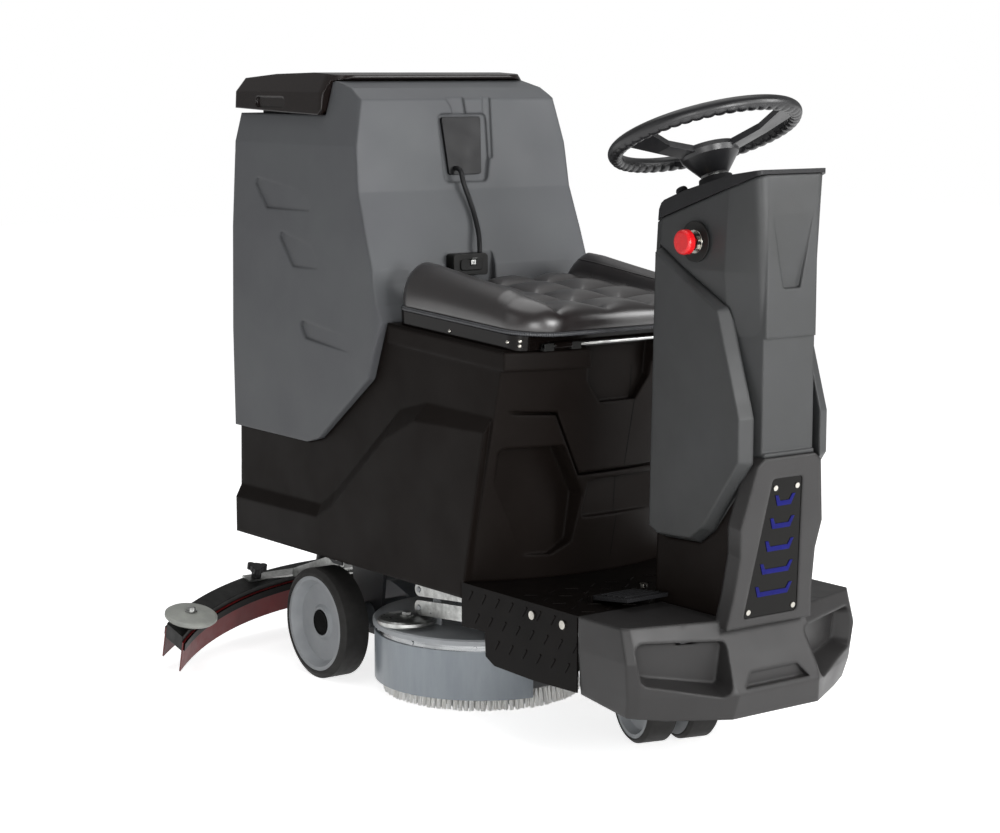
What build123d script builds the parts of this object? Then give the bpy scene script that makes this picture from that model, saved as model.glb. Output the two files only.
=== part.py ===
from build123d import *
import os
from math import atan2, cos, degrees, pi, radians, sin, sqrt, tan

# Ride-on floor scrubber. Millimetres. X points to the driver's left, Y to the rear, Z up.
# The origin is on the floor, below the middle of the overall length and on the centre line.

# ---------------------------------------------------------------- overall sizes
NOSE_REACH = 1104.3            # rear axle to the foremost edge of the console
TAIL_REACH = 440.27             # rear axle to the rearmost point of the squeegee
BODY_WIDTH = 552.0             # over the body sides and the bumper
FLOOR_TO_BODY = 258.0          # lower edge of the main body
PLATFORM_TOP = 289.0           # tread plate
AXLE_Y = (NOSE_REACH - TAIL_REACH) / 2
HALF = BODY_WIDTH / 2

# ---------------------------------------------------------------- wheels
REAR_WHEEL_R = 115.0
REAR_WHEEL_WIDTH = 66.0
REAR_TRACK_OUTER = 578.0       # over the outer faces of the rear tyres
REAR_RIM_R = 99.0
FRONT_WHEEL_R = 87.0
FRONT_WHEEL_WIDTH = 60.0
FRONT_RIM_R = 78.0
TWIN_GAP = 28.0                # between the two front tyres
TYRE_SHOULDER = 6.0
RUNNING_GAP = 0.05             # radial, shaft in bearing
AXLE_R = 12.0
FRONT_AXLE_R = 10.0

# ---------------------------------------------------------------- steering
STEER_AHEAD = 779.0            # steering pivot ahead of the rear axle
STEER_AT_REST = 15.0           # degrees, front wheels turned to the driver's right
COLUMN_TILT = 21.2             # degrees, steering wheel axis from vertical
WHEEL_CENTRE_AHEAD = 869.0
WHEEL_CENTRE_Z = 1136.0
STEERING_WHEEL_R = 165.5
RIM_TUBE_R = 12.7
STEM_R = 17.5
SHAFT_R = 11.0

# ---------------------------------------------------------------- chassis
RAIL_X = 150.0                 # centre of each rail
RAIL_WIDTH = 36.0
SHEET = 3.0                    # tread plate and folded sheet
RAIL_HEIGHT = 34.0
RAIL_TOP = PLATFORM_TOP - SHEET
RAIL_BOTTOM = RAIL_TOP - RAIL_HEIGHT

# ---------------------------------------------------------------- brush deck
BRUSH_X = -52.0                # the brush stands off to the right
BRUSH_AHEAD = 264.0
BRISTLE_R = 204.0
DECK_R = 222.0
DECK_TOP = 150.0
SKIRT_BOTTOM = 28.0

# ---------------------------------------------------------------- seat and tank
SEAT_SLOPE = 2.9               # degrees, the seat base falls towards the front
SEAT_WIDTH = 500.0
SEAT_HINGE_AHEAD = 648.0
DECK_FRONT_Z = 737.0           # seat base height at its front edge
TANK_WALL = 8.0
BODY_WALL = 7.0

# ---------------------------------------------------------------- squeegee
SQUEEGEE_HALF = 504.0
SQUEEGEE_ARC_R = 715.0
SQUEEGEE_PITCH = 14.0          # degrees, parked
SQUEEGEE_ORIGIN_BEHIND = 200.0
SQUEEGEE_ORIGIN_Z = 12.0
SQUEEGEE_APEX = 190.0          # front blade's rearmost point behind that origin


def fwd(distance):
    """Y of a point this far ahead of the rear axle."""
    return AXLE_Y - distance


def closed_outline(points):
    """A closed polyline inside the current line context."""
    return Polyline(*points, close=True)


def side_points(points):
    """Profile points given as (ahead of the rear axle, height), for a sketch on the YZ plane."""
    return [(fwd(ahead), height) for ahead, height in points]


# ================================================================ chassis
STEER_Y = fwd(STEER_AHEAD)
SHAFT_AHEAD = 931.0            # lower steering shaft
LINK_AHEAD = 480.0             # chassis end of the deck's lift links
LINK_X = 163.0                 # lift links either side of the brush axis
LINK_SHEET = 5.0
LINK_Z = (246.0, 209.0)        # chassis pivots, upper and lower
LINK_DROP = 19.0               # the links fall this far to the deck
LINK_REACH = 202.0             # along Y
PIN_R = 5.0
EYE_R = 6.2                    # free eye at the deck end
EYE_OUTER_R = 13.5
ARM_X = 120.0                  # squeegee lift arms
LIFT_HINGE_BEHIND = 150.0
LIFT_HINGE_Z = 208.0
AXLE_TUBE_R = 28.0
SNUG = 0.02                    # radial, parts fixed on each other
CHASSIS_REAR = 300.0
CHASSIS_NOSE = 1010.0
CROSS_MEMBERS = ((-285.0, 40.0), (-10.0, 60.0), (525.0, 44.0), (STEER_AHEAD, 90.0), (SHAFT_AHEAD, 50.0))

BATTERY_AHEAD = 262.0          # middle of the batteries
BATTERY_LENGTH = 330.0
BATTERY_WIDTH = 172.0
BATTERY_HEIGHT = 235.0
TRAY_HALF = 180.0

with BuildPart() as chassis_frame:
    with BuildSketch(Plane.XY.offset(RAIL_BOTTOM)) as frame_plan:
        rail_length = CHASSIS_NOSE + CHASSIS_REAR
        with Locations((-RAIL_X, fwd((CHASSIS_NOSE - CHASSIS_REAR) / 2)),
                       (RAIL_X, fwd((CHASSIS_NOSE - CHASSIS_REAR) / 2))):
            Rectangle(RAIL_WIDTH, rail_length)
        for ahead, width in CROSS_MEMBERS:
            with Locations((0, fwd(ahead))):
                Rectangle(2 * RAIL_X, width)
        with Locations((0, fwd(525.0))):
            Rectangle(2 * (LINK_X - BRUSH_X + 8), 44.0)
    extrude(amount=RAIL_HEIGHT)
    with BuildSketch(Plane.XY.offset(RAIL_BOTTOM)):
        add(frame_plan.sketch.moved(Location((0, 0, 0))))
        offset(amount=-SHEET)
    extrude(amount=RAIL_HEIGHT - SHEET, mode=Mode.SUBTRACT)
    # web under the steering pivot, and the pivot's and the shaft's holes
    with BuildSketch(Plane.XY.offset(RAIL_BOTTOM)):
        with Locations((0, STEER_Y)):
            Rectangle(2 * RAIL_X - RAIL_WIDTH, 90.0)
        with Locations((0, fwd(SHAFT_AHEAD))):
            Rectangle(2 * RAIL_X - RAIL_WIDTH, 50.0)
    extrude(amount=SHEET)
    with BuildSketch(Plane.XY.offset(RAIL_BOTTOM)):
        with Locations((0, STEER_Y)):
            Circle(STEM_R + 4)
        with Locations((0, fwd(SHAFT_AHEAD))):
            Circle(SHAFT_R + 4)
    extrude(amount=RAIL_HEIGHT, mode=Mode.SUBTRACT)
    # hangers of the rear axle
    for side in (-1, 1):
        with BuildSketch(Plane.YZ.offset(side * RAIL_X - 4)):
            with BuildLine():
                closed_outline([(fwd(70), RAIL_TOP - SHEET), (fwd(-70), RAIL_TOP - SHEET), (fwd(-40), REAR_WHEEL_R - 38),
                                (fwd(40), REAR_WHEEL_R - 38)])
            make_face()
            with Locations((AXLE_Y, REAR_WHEEL_R)):
                Circle(AXLE_TUBE_R + SNUG, mode=Mode.SUBTRACT)
        extrude(amount=8)
    # plates that carry the lift links' front pins
    for side in (-1, 1):
        with BuildSketch(Plane.YZ.offset(BRUSH_X + side * (LINK_X + LINK_SHEET / 2 + 0.4) - (3 if side < 0 else 0))):
            with BuildLine():
                closed_outline([(fwd(545), RAIL_BOTTOM + 4), (fwd(545), 228), (fwd(LINK_AHEAD + 14), LINK_Z[1] - 14),
                                (fwd(LINK_AHEAD - 14), LINK_Z[1] - 14), (fwd(LINK_AHEAD - 14), RAIL_BOTTOM + 4)])
            make_face()
        extrude(amount=3)
    # ears of the squeegee arms' hinge
    for side in (-1, 1):
        for ear in (-1, 1):
            with BuildSketch(Plane.YZ.offset(side * ARM_X + ear * 9 - 2)):
                with BuildLine():
                    closed_outline([(fwd(-265.5), RAIL_BOTTOM), (fwd(-265.5), RAIL_BOTTOM + 10),
                                    (fwd(-300), RAIL_BOTTOM + 10), (fwd(-300), RAIL_BOTTOM),
                                    (fwd(-LIFT_HINGE_BEHIND - 20), LIFT_HINGE_Z - 14),
                                    (fwd(-LIFT_HINGE_BEHIND + 14), LIFT_HINGE_Z - 14),
                                    (fwd(-LIFT_HINGE_BEHIND + 14), LIFT_HINGE_Z + 14)])
                make_face()
                with Locations((fwd(-LIFT_HINGE_BEHIND), LIFT_HINGE_Z)):
                    Circle(PIN_R + SNUG, mode=Mode.SUBTRACT)
            extrude(amount=4)
    # fixed front pins of the lift links
    for side in (-1, 1):
        with BuildSketch(Plane.YZ.offset(BRUSH_X + side * (LINK_X - LINK_SHEET / 2 - 3) - (0 if side > 0 else 12))):
            with Locations(*[(fwd(LINK_AHEAD), height) for height in LINK_Z]):
                Circle(PIN_R)
        extrude(amount=12)
    # battery tray and the slot the steering chain runs in
    with BuildSketch(Plane.XY.offset(RAIL_TOP)):
        with Locations((0, fwd(BATTERY_AHEAD))):
            Rectangle(2 * TRAY_HALF, BATTERY_LENGTH + 12)
    extrude(amount=SHEET)
    with BuildSketch(Plane.XY.offset(RAIL_BOTTOM + SHEET)):
        with Locations((0, fwd((STEER_AHEAD + SHAFT_AHEAD) / 2 - 14))):
            Rectangle(124, SHAFT_AHEAD - STEER_AHEAD + 104)
    extrude(amount=RAIL_HEIGHT - 2 * SHEET, mode=Mode.SUBTRACT)

# ================================================================ drive axle and rear wheels
TUBE_END = 206.0
GEARCASE_R = 36.0
REAR_FACE = REAR_TRACK_OUTER / 2


def radial(axle):
    """Plane through an axle: x away from it, y along it."""
    return Plane(origin=axle.origin, x_dir=axle.x_dir, z_dir=-axle.y_dir)


def spin_axis(axle):
    return Axis(axle.origin, axle.z_dir)


def tyre(axle, radius, width, rim_radius):
    """Solid rubber tyre with rounded shoulders and a flat tread."""
    half = width / 2
    shoulder = rim_radius + (radius - rim_radius) * 0.4
    with BuildPart() as made:
        with BuildSketch(radial(axle)):
            with BuildLine():
                closed_outline([(rim_radius, -half), (shoulder, -half), (radius, -half + TYRE_SHOULDER),
                                (radius, half - TYRE_SHOULDER), (shoulder, half), (rim_radius, half)])
            make_face()
        revolve(axis=spin_axis(axle))
    return made.part


def rim(axle, rim_radius, width, bore, hub_radius, dish, stub=0.0):
    """Dished rim with a raised ring round its hub; stub is the half shaft fixed in it."""
    outer = rim_radius - SNUG
    half = width / 2
    with BuildPart() as made:
        with BuildSketch(radial(axle)):
            with BuildLine():
                closed_outline([(bore, -half), (outer, -half), (outer, half - 1), (outer - 8, half - 1),
                                (outer - 8 - dish / 2, half - dish), (hub_radius + 10, half - dish),
                                (hub_radius + 4, half - dish + 6), (hub_radius, half - dish + 6),
                                (hub_radius - 3, half - dish - 8), (bore, half - dish - 8)])
            make_face()
        revolve(axis=spin_axis(axle))
        if stub:
            with BuildSketch(Plane(origin=axle.origin - axle.z_dir * stub, x_dir=axle.x_dir, z_dir=axle.z_dir)):
                Circle(AXLE_R)
            extrude(amount=stub + half - dish - 2)
    return made.part


def rear_axle(side):
    return Plane(origin=(side * (REAR_FACE - REAR_WHEEL_WIDTH / 2), AXLE_Y, REAR_WHEEL_R), x_dir=(0, 1, 0),
                 z_dir=(side, 0, 0))


rear_tyres = [tyre(rear_axle(side), REAR_WHEEL_R, REAR_WHEEL_WIDTH, REAR_RIM_R) for side in (1, -1)]
rear_rims = [rim(rear_axle(side), REAR_RIM_R, REAR_WHEEL_WIDTH, AXLE_R - 0.5, 27.5, 22.0, stub=90.0) for side in (1, -1)]

with BuildPart() as rear_transaxle:
    with BuildSketch(Plane.YZ.offset(-TUBE_END)):
        with Locations((AXLE_Y, REAR_WHEEL_R)):
            Circle(AXLE_TUBE_R)
    extrude(amount=2 * TUBE_END)
    with BuildSketch(Plane.YZ.offset(-62)):
        with Locations((AXLE_Y, REAR_WHEEL_R)):
            Circle(GEARCASE_R)
        with Locations((fwd(-55), REAR_WHEEL_R + 4)):
            Circle(GEARCASE_R + 12)
        make_hull()
    extrude(amount=124)
    with BuildSketch(Plane.XZ.offset(-fwd(-95))):
        with Locations((0, REAR_WHEEL_R + 4)):
            Circle(46)
    extrude(amount=-105)
    fillet(rear_transaxle.edges().group_by(Axis.Y)[-1], 8)
    for side in (-1, 1):
        with BuildSketch(Plane.YZ.offset(side * TUBE_END)):
            with Locations((AXLE_Y, REAR_WHEEL_R)):
                Circle(AXLE_R + RUNNING_GAP)
        extrude(amount=-side * 50, mode=Mode.SUBTRACT)

# ================================================================ steered fork and front wheels
STEERED = Plane(origin=(0, STEER_Y, 0), x_dir=(cos(radians(STEER_AT_REST)), -sin(radians(STEER_AT_REST)), 0),
                z_dir=(0, 0, 1))
TWIN_X = (TWIN_GAP + FRONT_WHEEL_WIDTH) / 2
FORK_TOP = 208.0
BEARING_TOP = RAIL_BOTTOM
CHAIN_Z = 259.0
CHAIN_HEIGHT = 6.0
FORK_SPROCKET_R = 48.0
SHAFT_SPROCKET_R = 24.0
CHAIN_THICK = 5.0
CHAIN_GAP = 0.3


def front_axle(side):
    return Plane(origin=STEERED.from_local_coords((side * TWIN_X, 0, FRONT_WHEEL_R)), x_dir=STEERED.y_dir,
                 z_dir=STEERED.x_dir * side)


front_tyres = [tyre(front_axle(side), FRONT_WHEEL_R, FRONT_WHEEL_WIDTH, FRONT_RIM_R) for side in (1, -1)]
front_rims = [rim(front_axle(side), FRONT_RIM_R, FRONT_WHEEL_WIDTH, FRONT_AXLE_R + RUNNING_GAP, 22.0, 16.0)
              for side in (1, -1)]

with BuildPart() as steering_fork:
    with BuildSketch(Plane(origin=STEERED.from_local_coords((-6, 0, 0)), x_dir=STEERED.y_dir, z_dir=STEERED.x_dir)):
        with BuildLine():
            closed_outline([(-30, FRONT_WHEEL_R - 20), (30, FRONT_WHEEL_R - 20), (48, FORK_TOP - 8), (-48, FORK_TOP - 8)])
        make_face()
    extrude(amount=12)
    fillet(steering_fork.edges().filter_by(lambda e: abs(e.tangent_at(0.5).dot(STEERED.x_dir)) > 0.99)
           .group_by(Axis.Z)[0], 16)
    with BuildSketch(STEERED.offset(FORK_TOP - 10)):
        Circle(50)
    extrude(amount=10)
    with BuildSketch(STEERED.offset(FORK_TOP)):
        Circle(STEM_R)
    extrude(amount=CHAIN_Z + CHAIN_HEIGHT + 6 - FORK_TOP)
    with BuildSketch(STEERED.offset(CHAIN_Z)):
        Circle(FORK_SPROCKET_R)
    extrude(amount=CHAIN_HEIGHT)
    reach = TWIN_X + FRONT_WHEEL_WIDTH / 2 - 18
    with BuildSketch(Plane(origin=STEERED.from_local_coords((-reach, 0, FRONT_WHEEL_R)), x_dir=STEERED.y_dir,
                           z_dir=STEERED.x_dir)):
        Circle(FRONT_AXLE_R)
    extrude(amount=2 * reach)

with BuildPart() as steering_bearing:
    with BuildSketch(Plane(origin=(0, STEER_Y, FORK_TOP + 0.3))):
        Circle(40)
        Circle(STEM_R + RUNNING_GAP, mode=Mode.SUBTRACT)
    extrude(amount=BEARING_TOP - FORK_TOP - 0.3)
    chamfer(steering_bearing.edges().group_by(Axis.Z)[0].sort_by(SortBy.RADIUS)[-1], 6)

with BuildPart() as steering_chain:
    with BuildSketch(Plane.XY.offset(CHAIN_Z)):
        for trim, mode in ((CHAIN_GAP + CHAIN_THICK, Mode.ADD), (CHAIN_GAP, Mode.SUBTRACT)):
            with BuildSketch(mode=Mode.PRIVATE) as loop:
                with Locations((0, STEER_Y)):
                    Circle(FORK_SPROCKET_R + trim)
                with Locations((0, fwd(SHAFT_AHEAD))):
                    Circle(SHAFT_SPROCKET_R + trim)
                make_hull()
            add(loop.sketch, mode=mode)
    extrude(amount=CHAIN_HEIGHT)

# ================================================================ body
BODY_TOP = 760.0
SEAM = [(-344, 491), (-47, 489), (-2, 501), (185, 642), (228, 757.5)]
CORE_LOW, CORE_HIGH = 262.0, 254.0
BODY_REAR = -344.0             # behind the axle, so ahead is negative
REAR_CORNER = 14.0
PAD_UPPER = [(-334, 370), (-17, 370), (40, 408), (276, 599), (366, 618), (572, 612)]
PAD_LOWER = [(-330, 334), (-5, 338), (51, 368), (246, 532), (347, 580), (576, 585)]


def seat_base(ahead):
    """Height of the sloping top of the body."""
    return DECK_FRONT_Z + (SEAT_HINGE_AHEAD - ahead) * tan(radians(SEAT_SLOPE))


def body_plan(height, half, front_corner, front_middle, rear, corner):
    """Closed plan outline of the body at one height: bowed front, rounded rear corners."""
    with BuildSketch(Plane.XY.offset(height)) as plan:
        with BuildLine():
            Line((half, fwd(front_corner)), (half, fwd(rear)))
            Line((half, fwd(rear)), (-half, fwd(rear)))
            Line((-half, fwd(rear)), (-half, fwd(front_corner)))
            ThreePointArc((-half, fwd(front_corner)), (0, fwd(front_middle)), (half, fwd(front_corner)))
        make_face()
        fillet(plan.vertices().group_by(Axis.Y)[-1], corner)
    return plan.sketch


with BuildPart() as body_cavity:
    with BuildSketch(Plane.YZ.offset(-HALF)):
        with BuildLine():
            closed_outline(side_points([(BODY_REAR + BODY_WALL, 200), (BODY_REAR + BODY_WALL, 484), (-44, 482),
                                        (3, 492), (191, 637), (234, seat_base(234) - BODY_WALL),
                                        (660, seat_base(660) - BODY_WALL), (660, 200)]))
        make_face()
    extrude(amount=BODY_WIDTH)
    add(body_plan(200, CORE_LOW - BODY_WALL, 455, 525, BODY_REAR + BODY_WALL, REAR_CORNER - BODY_WALL))
    add(body_plan(BODY_TOP, CORE_HIGH - BODY_WALL, 560, 590, BODY_REAR + BODY_WALL, REAR_CORNER - BODY_WALL))
    loft(mode=Mode.INTERSECT)

with BuildPart() as body_belt:
    with BuildSketch(Plane.YZ.offset(-HALF)):
        with BuildLine():
            closed_outline(side_points([(234, seat_base(234) - 38), (234, seat_base(234) - 3),
                                        (700, seat_base(700) - 3), (700, seat_base(700) - 38)]))
        make_face()
    extrude(amount=BODY_WIDTH)
    add(body_plan(600, CORE_HIGH + 5, 616, 653, BODY_REAR, REAR_CORNER))
    extrude(amount=200, mode=Mode.INTERSECT)

PLATE_FRONT = 857.0
PLATE_REAR = 504.0
SEAT_OPENING_AHEAD = 415.0
SEAT_OPENING_LENGTH = 310.0
SEAT_OPENING_WIDTH = 360.0
SEAT_OPENING_LOW = 700.0
PANEL_AHEAD = 560.0

with BuildPart() as main_body:
    with BuildSketch(Plane.YZ.offset(-HALF)):
        with BuildLine():
            closed_outline(side_points([(BODY_REAR, FLOOR_TO_BODY)] + SEAM
                                       + [(232, seat_base(232)), (700, seat_base(700)), (700, PLATFORM_TOP),
                                          (504, PLATFORM_TOP), (504, FLOOR_TO_BODY)]))
        make_face()
    extrude(amount=BODY_WIDTH)
    add(body_plan(FLOOR_TO_BODY - 4, CORE_LOW, 503, 577, BODY_REAR, REAR_CORNER))
    add(body_plan(BODY_TOP, CORE_HIGH, 614, 650, BODY_REAR, REAR_CORNER))
    loft(mode=Mode.INTERSECT)
    # bulging lower sides
    for side in (-1, 1):
        for depth, edge_line, front_low, rear_low in ((CORE_HIGH, PAD_UPPER, 507, -334), (HALF, PAD_LOWER, 503, -330)):
            with BuildSketch(Plane.YZ.offset(side * depth)):
                with BuildLine():
                    closed_outline(side_points([(rear_low, FLOOR_TO_BODY)] + edge_line + [(front_low, FLOOR_TO_BODY)]))
                make_face()
        loft(ruled=True)
    add(body_belt.part)
    with BuildSketch(Plane.XY.offset(FLOOR_TO_BODY - 2)):
        with Locations((0, fwd(PLATE_REAR + 50))):
            Rectangle(BODY_WIDTH + 10, 101)
    extrude(amount=PLATFORM_TOP - FLOOR_TO_BODY + 2, mode=Mode.SUBTRACT)
    add(body_cavity.part, mode=Mode.SUBTRACT)
    # the front wall stands on the platform and clears the cross member
    with BuildSketch(Plane.XY.offset(FLOOR_TO_BODY - 2)):
        with Locations((0, fwd(472))):
            Rectangle(2 * CORE_LOW - 26, 70)
    extrude(amount=PLATFORM_TOP - FLOOR_TO_BODY + 2, mode=Mode.SUBTRACT)
    # opening under the seat
    with BuildSketch(Plane.XY.offset(SEAT_OPENING_LOW)):
        with Locations((0, fwd(SEAT_OPENING_AHEAD))):
            RectangleRounded(SEAT_OPENING_WIDTH, SEAT_OPENING_LENGTH, 20)
    extrude(amount=120, mode=Mode.SUBTRACT)
    # recessed panel low on the right of the front face
    with BuildSketch(Plane.XZ.offset(-fwd(PANEL_AHEAD))) as front_pocket:
        with BuildLine():
            closed_outline([(-240, 550), (-112, 550), (-61, 449), (-75, 358), (-118, 335), (-240, 343)])
        make_face()
        fillet(front_pocket.vertices(), 14)
    extrude(amount=120, mode=Mode.SUBTRACT)
    # groove across the front face, the step below it, and the notch under the seat edge
    with BuildSketch(Plane.XZ.offset(-fwd(PANEL_AHEAD + 32))):
        with BuildLine():
            Polyline((-300, 624), (-136, 613), (-75, 490), (HALF + 10, 495))
        trace(line_width=6)
    extrude(amount=100, mode=Mode.SUBTRACT)
    with BuildSketch(Plane.XZ.offset(-fwd(PANEL_AHEAD + 26))) as front_step:
        with BuildLine():
            closed_outline([(-48, 474), (-60, 404), (230, 404), (230, 478)])
        make_face()
        fillet(front_step.vertices(), 10)
    extrude(amount=100, taper=-8, mode=Mode.SUBTRACT)
    with BuildSketch(Plane.XZ.offset(-fwd(PANEL_AHEAD + 54))):
        with BuildLine():
            closed_outline([(-86, 780), (-75, 672), (-43, 628), (43, 628), (75, 672), (86, 780)])
        make_face()
    extrude(amount=100, mode=Mode.SUBTRACT)

# ================================================================ platform and bumper
PEDAL_X = -140.0
PEDAL_HALF = 48.0
PEDAL_HEEL = 784.0
PEDAL_PIN_AHEAD = PEDAL_HEEL + 1
PEDAL_PIN_Z = PLATFORM_TOP + 7.8
PEDAL_PIN_R = 3.0

with BuildPart() as platform_plate:
    with BuildSketch(Plane.XY.offset(RAIL_TOP)):
        with Locations((0, fwd((PLATE_FRONT + PLATE_REAR) / 2))):
            Rectangle(BODY_WIDTH, PLATE_FRONT - PLATE_REAR)
        with Locations((0, fwd(PLATE_REAR - 30))):
            Rectangle(2 * CORE_LOW - 30, 60)
    extrude(amount=SHEET)
    with BuildSketch(Plane.XY.offset(PLATFORM_TOP)):
        rows, columns = 6, 11
        for row in range(rows):
            for column in range(columns):
                across = (column - (columns - 1) / 2) * 48
                ahead = PLATE_FRONT - 16 - row * 42
                under_column = abs(across) < 96 and ahead > 822
                under_body = ahead < 640
                if not under_column and not under_body:
                    with Locations((across, fwd(ahead))):
                        Rectangle(25, 5, rotation=35 if (row + column) % 2 else -35)
    extrude(amount=1.5)
    # hinge of the pedal: two lugs and a pin
    for lug_x in (PEDAL_X - PEDAL_HALF - 4.5, PEDAL_X + PEDAL_HALF + 0.5):
        with BuildSketch(Plane.YZ.offset(lug_x)):
            with Locations((fwd(PEDAL_PIN_AHEAD), (PLATFORM_TOP + PEDAL_PIN_Z + 6) / 2)):
                Rectangle(12, PEDAL_PIN_Z + 6 - PLATFORM_TOP)
        extrude(amount=4)
    with BuildSketch(Plane.YZ.offset(PEDAL_X - PEDAL_HALF - 2)):
        with Locations((fwd(PEDAL_PIN_AHEAD), PEDAL_PIN_Z)):
            Circle(PEDAL_PIN_R)
    extrude(amount=2 * PEDAL_HALF + 4)
    for side in (-1, 1):
        with BuildSketch(Plane.YZ.offset(side * HALF)) as flange:
            with BuildLine():
                closed_outline(side_points([(504, PLATFORM_TOP), (504, 204), (578, 207), (580, 160), (607, 147),
                                            (727, 144), (854, 148), (854, PLATFORM_TOP)]))
            make_face()
        extrude(amount=-side * SHEET)
        # raised bars of the folded sheet's tread
        with BuildSketch(Plane.YZ.offset(side * HALF)):
            for row in range(3):
                for column in range(8):
                    ahead, height = 532 + column * 42 + (row % 2) * 21, 268 - row * 40
                    low_edge = 160 if ahead > 590 else 214
                    clear_of_bolts = min(abs(ahead - 724), abs(ahead - 814)) > 14 or height < 250
                    if height > low_edge + 6 and ahead < 850 and clear_of_bolts:
                        with Locations((fwd(ahead), height)):
                            Rectangle(4, 22, rotation=35 if side < 0 else -35)
        extrude(amount=side * 1.2)

with BuildPart() as visible_bolts:
    for side in (-1, 1):
        with BuildSketch(Plane.YZ.offset(side * HALF)):
            with Locations((fwd(724), 266), (fwd(814), 265)):
                Circle(8)
        extrude(amount=side * 3)
    with BuildSketch(Plane.XY.offset(PLATFORM_TOP)):
        with Locations((-16, fwd(730))):
            Circle(8)
    extrude(amount=3)

BUMPER_NOSE = 1087.0
LIP_Z = 164.0
WAIST_Z = 228.0
bumper_top = [(HALF, 858), (HALF, 974), (HALF - 11, 984), (102, 1032), (-102, 1032), (11 - HALF, 984),
              (-HALF, 974), (-HALF, 858)]
bumper_waist = [(HALF, 858), (HALF + 2, 992), (HALF - 13, 1006), (110, 1058), (-110, 1058), (13 - HALF, 1006),
                (-HALF - 2, 992), (-HALF, 858)]
bumper_lip = [(HALF - 4, 858), (HALF - 5, 988), (HALF - 22, 1004), (97, BUMPER_NOSE), (-97, BUMPER_NOSE),
              (22 - HALF, 1004), (5 - HALF, 988), (4 - HALF, 858)]
bumper_foot = [(HALF - 10, 858), (HALF - 12, 976), (HALF - 26, 990), (104, 1078), (-104, 1078),
               (26 - HALF, 990), (12 - HALF, 976), (10 - HALF, 858)]
PANEL_LEAN = degrees(atan2(37, 237))   # the front panel's plane leans forward going up
FRAME_FACE = Plane(origin=(0, fwd(1058), 286), x_dir=(1, 0, 0),
                   z_dir=(0, -cos(radians(PANEL_LEAN)), -sin(radians(PANEL_LEAN))))
FRAME_DEPTH = 34.0
PANEL_DEPTH = 6.0
frame_outline = [(-102, -12), (102, -12), (94, 45), (90, 120), (98, 172), (75, 288), (60, 300), (-60, 300),
                 (-75, 288), (-98, 172), (-90, 120), (-94, 45)]
panel_outline = [(-66, 4), (66, 4), (36, 262), (-36, 262)]

with BuildPart() as front_bumper:
    bumper_levels = ((PLATFORM_TOP, bumper_top), (WAIST_Z, bumper_waist), (LIP_Z, bumper_lip), (120, bumper_foot))
    for bumper_level in zip(bumper_levels, bumper_levels[1:]):
        for height, outline in bumper_level:
            with BuildSketch(Plane.XY.offset(height)):
                with BuildLine():
                    closed_outline([(across, fwd(ahead)) for across, ahead in outline])
                make_face()
        loft(ruled=True)
    # the underside rises to the rear
    with BuildSketch(Plane.YZ.offset(-HALF)):
        with BuildLine():
            closed_outline(side_points([(840, 100), (840, 148), (1000, 124), (1060, 110), (1060, 100)]))
        make_face()
    extrude(amount=BODY_WIDTH, mode=Mode.SUBTRACT)
    # hollow behind, where the front wheels swing
    with BuildSketch(Plane.XY.offset(100)):
        with BuildLine():
            closed_outline([(HALF - 14, fwd(840)), (HALF - 16, fwd(966)), (80, fwd(1010)), (-80, fwd(1010)),
                            (16 - HALF, fwd(966)), (14 - HALF, fwd(840))])
        make_face()
    extrude(amount=RAIL_BOTTOM - 2 - 100, mode=Mode.SUBTRACT)
    # the rails run in under the top
    with BuildSketch(Plane.XY.offset(RAIL_BOTTOM - 3)):
        with Locations((0, fwd(CHASSIS_NOSE / 2 + 426))):
            Rectangle(2 * RAIL_X + RAIL_WIDTH + 4, CHASSIS_NOSE + 2 - 852)
    extrude(amount=RAIL_TOP - RAIL_BOTTOM + 3, mode=Mode.SUBTRACT)
    # the lower steering shaft comes down through the top
    with BuildSketch(Plane.XY.offset(RAIL_TOP - 20)):
        with Locations((0, fwd(938))):
            Rectangle(118, 128)
    extrude(amount=40, mode=Mode.SUBTRACT)
    # pockets either side of the nose
    for side in (-1, 1):
        face_dir = Vector(side * 141, 52, 0).normalized()
        normal = Vector(side * 52, -141, 0).normalized()
        pocket_plane = Plane(origin=(side * 178, fwd(996), 0), x_dir=face_dir * side, z_dir=normal)
        with BuildSketch(pocket_plane) as pocket:
            with BuildLine():
                closed_outline([(-side * 92, 250), (side * 72, 255), (side * 60, 196), (-side * 84, 174)])
            make_face()
            fillet(pocket.vertices(), 8)
        extrude(amount=80, taper=-14, mode=Mode.SUBTRACT)
    # bridge recess low in the middle
    with BuildSketch(Plane.XZ.offset(-fwd(1068))):
        with BuildLine():
            closed_outline([(-56, 197), (56, 197), (78, 172), (-78, 172)])
        make_face()
    extrude(amount=40, mode=Mode.SUBTRACT)
    # the A-shaped frame
    with BuildSketch(FRAME_FACE) as a_frame:
        with BuildLine():
            closed_outline(frame_outline)
        make_face()
    extrude(amount=-FRAME_DEPTH)
    with BuildSketch(FRAME_FACE) as panel_seat:
        with BuildLine():
            closed_outline(panel_outline)
        make_face()
        fillet(panel_seat.vertices(), 8)
    extrude(amount=-PANEL_DEPTH - 2, mode=Mode.SUBTRACT)

with BuildPart() as front_panel:
    with BuildSketch(FRAME_FACE.offset(-PANEL_DEPTH - 2)) as panel_face:
        with BuildLine():
            closed_outline(panel_outline)
        make_face()
        fillet(panel_face.vertices(), 8)
        offset(amount=-0.4)
    extrude(amount=PANEL_DEPTH)

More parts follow.
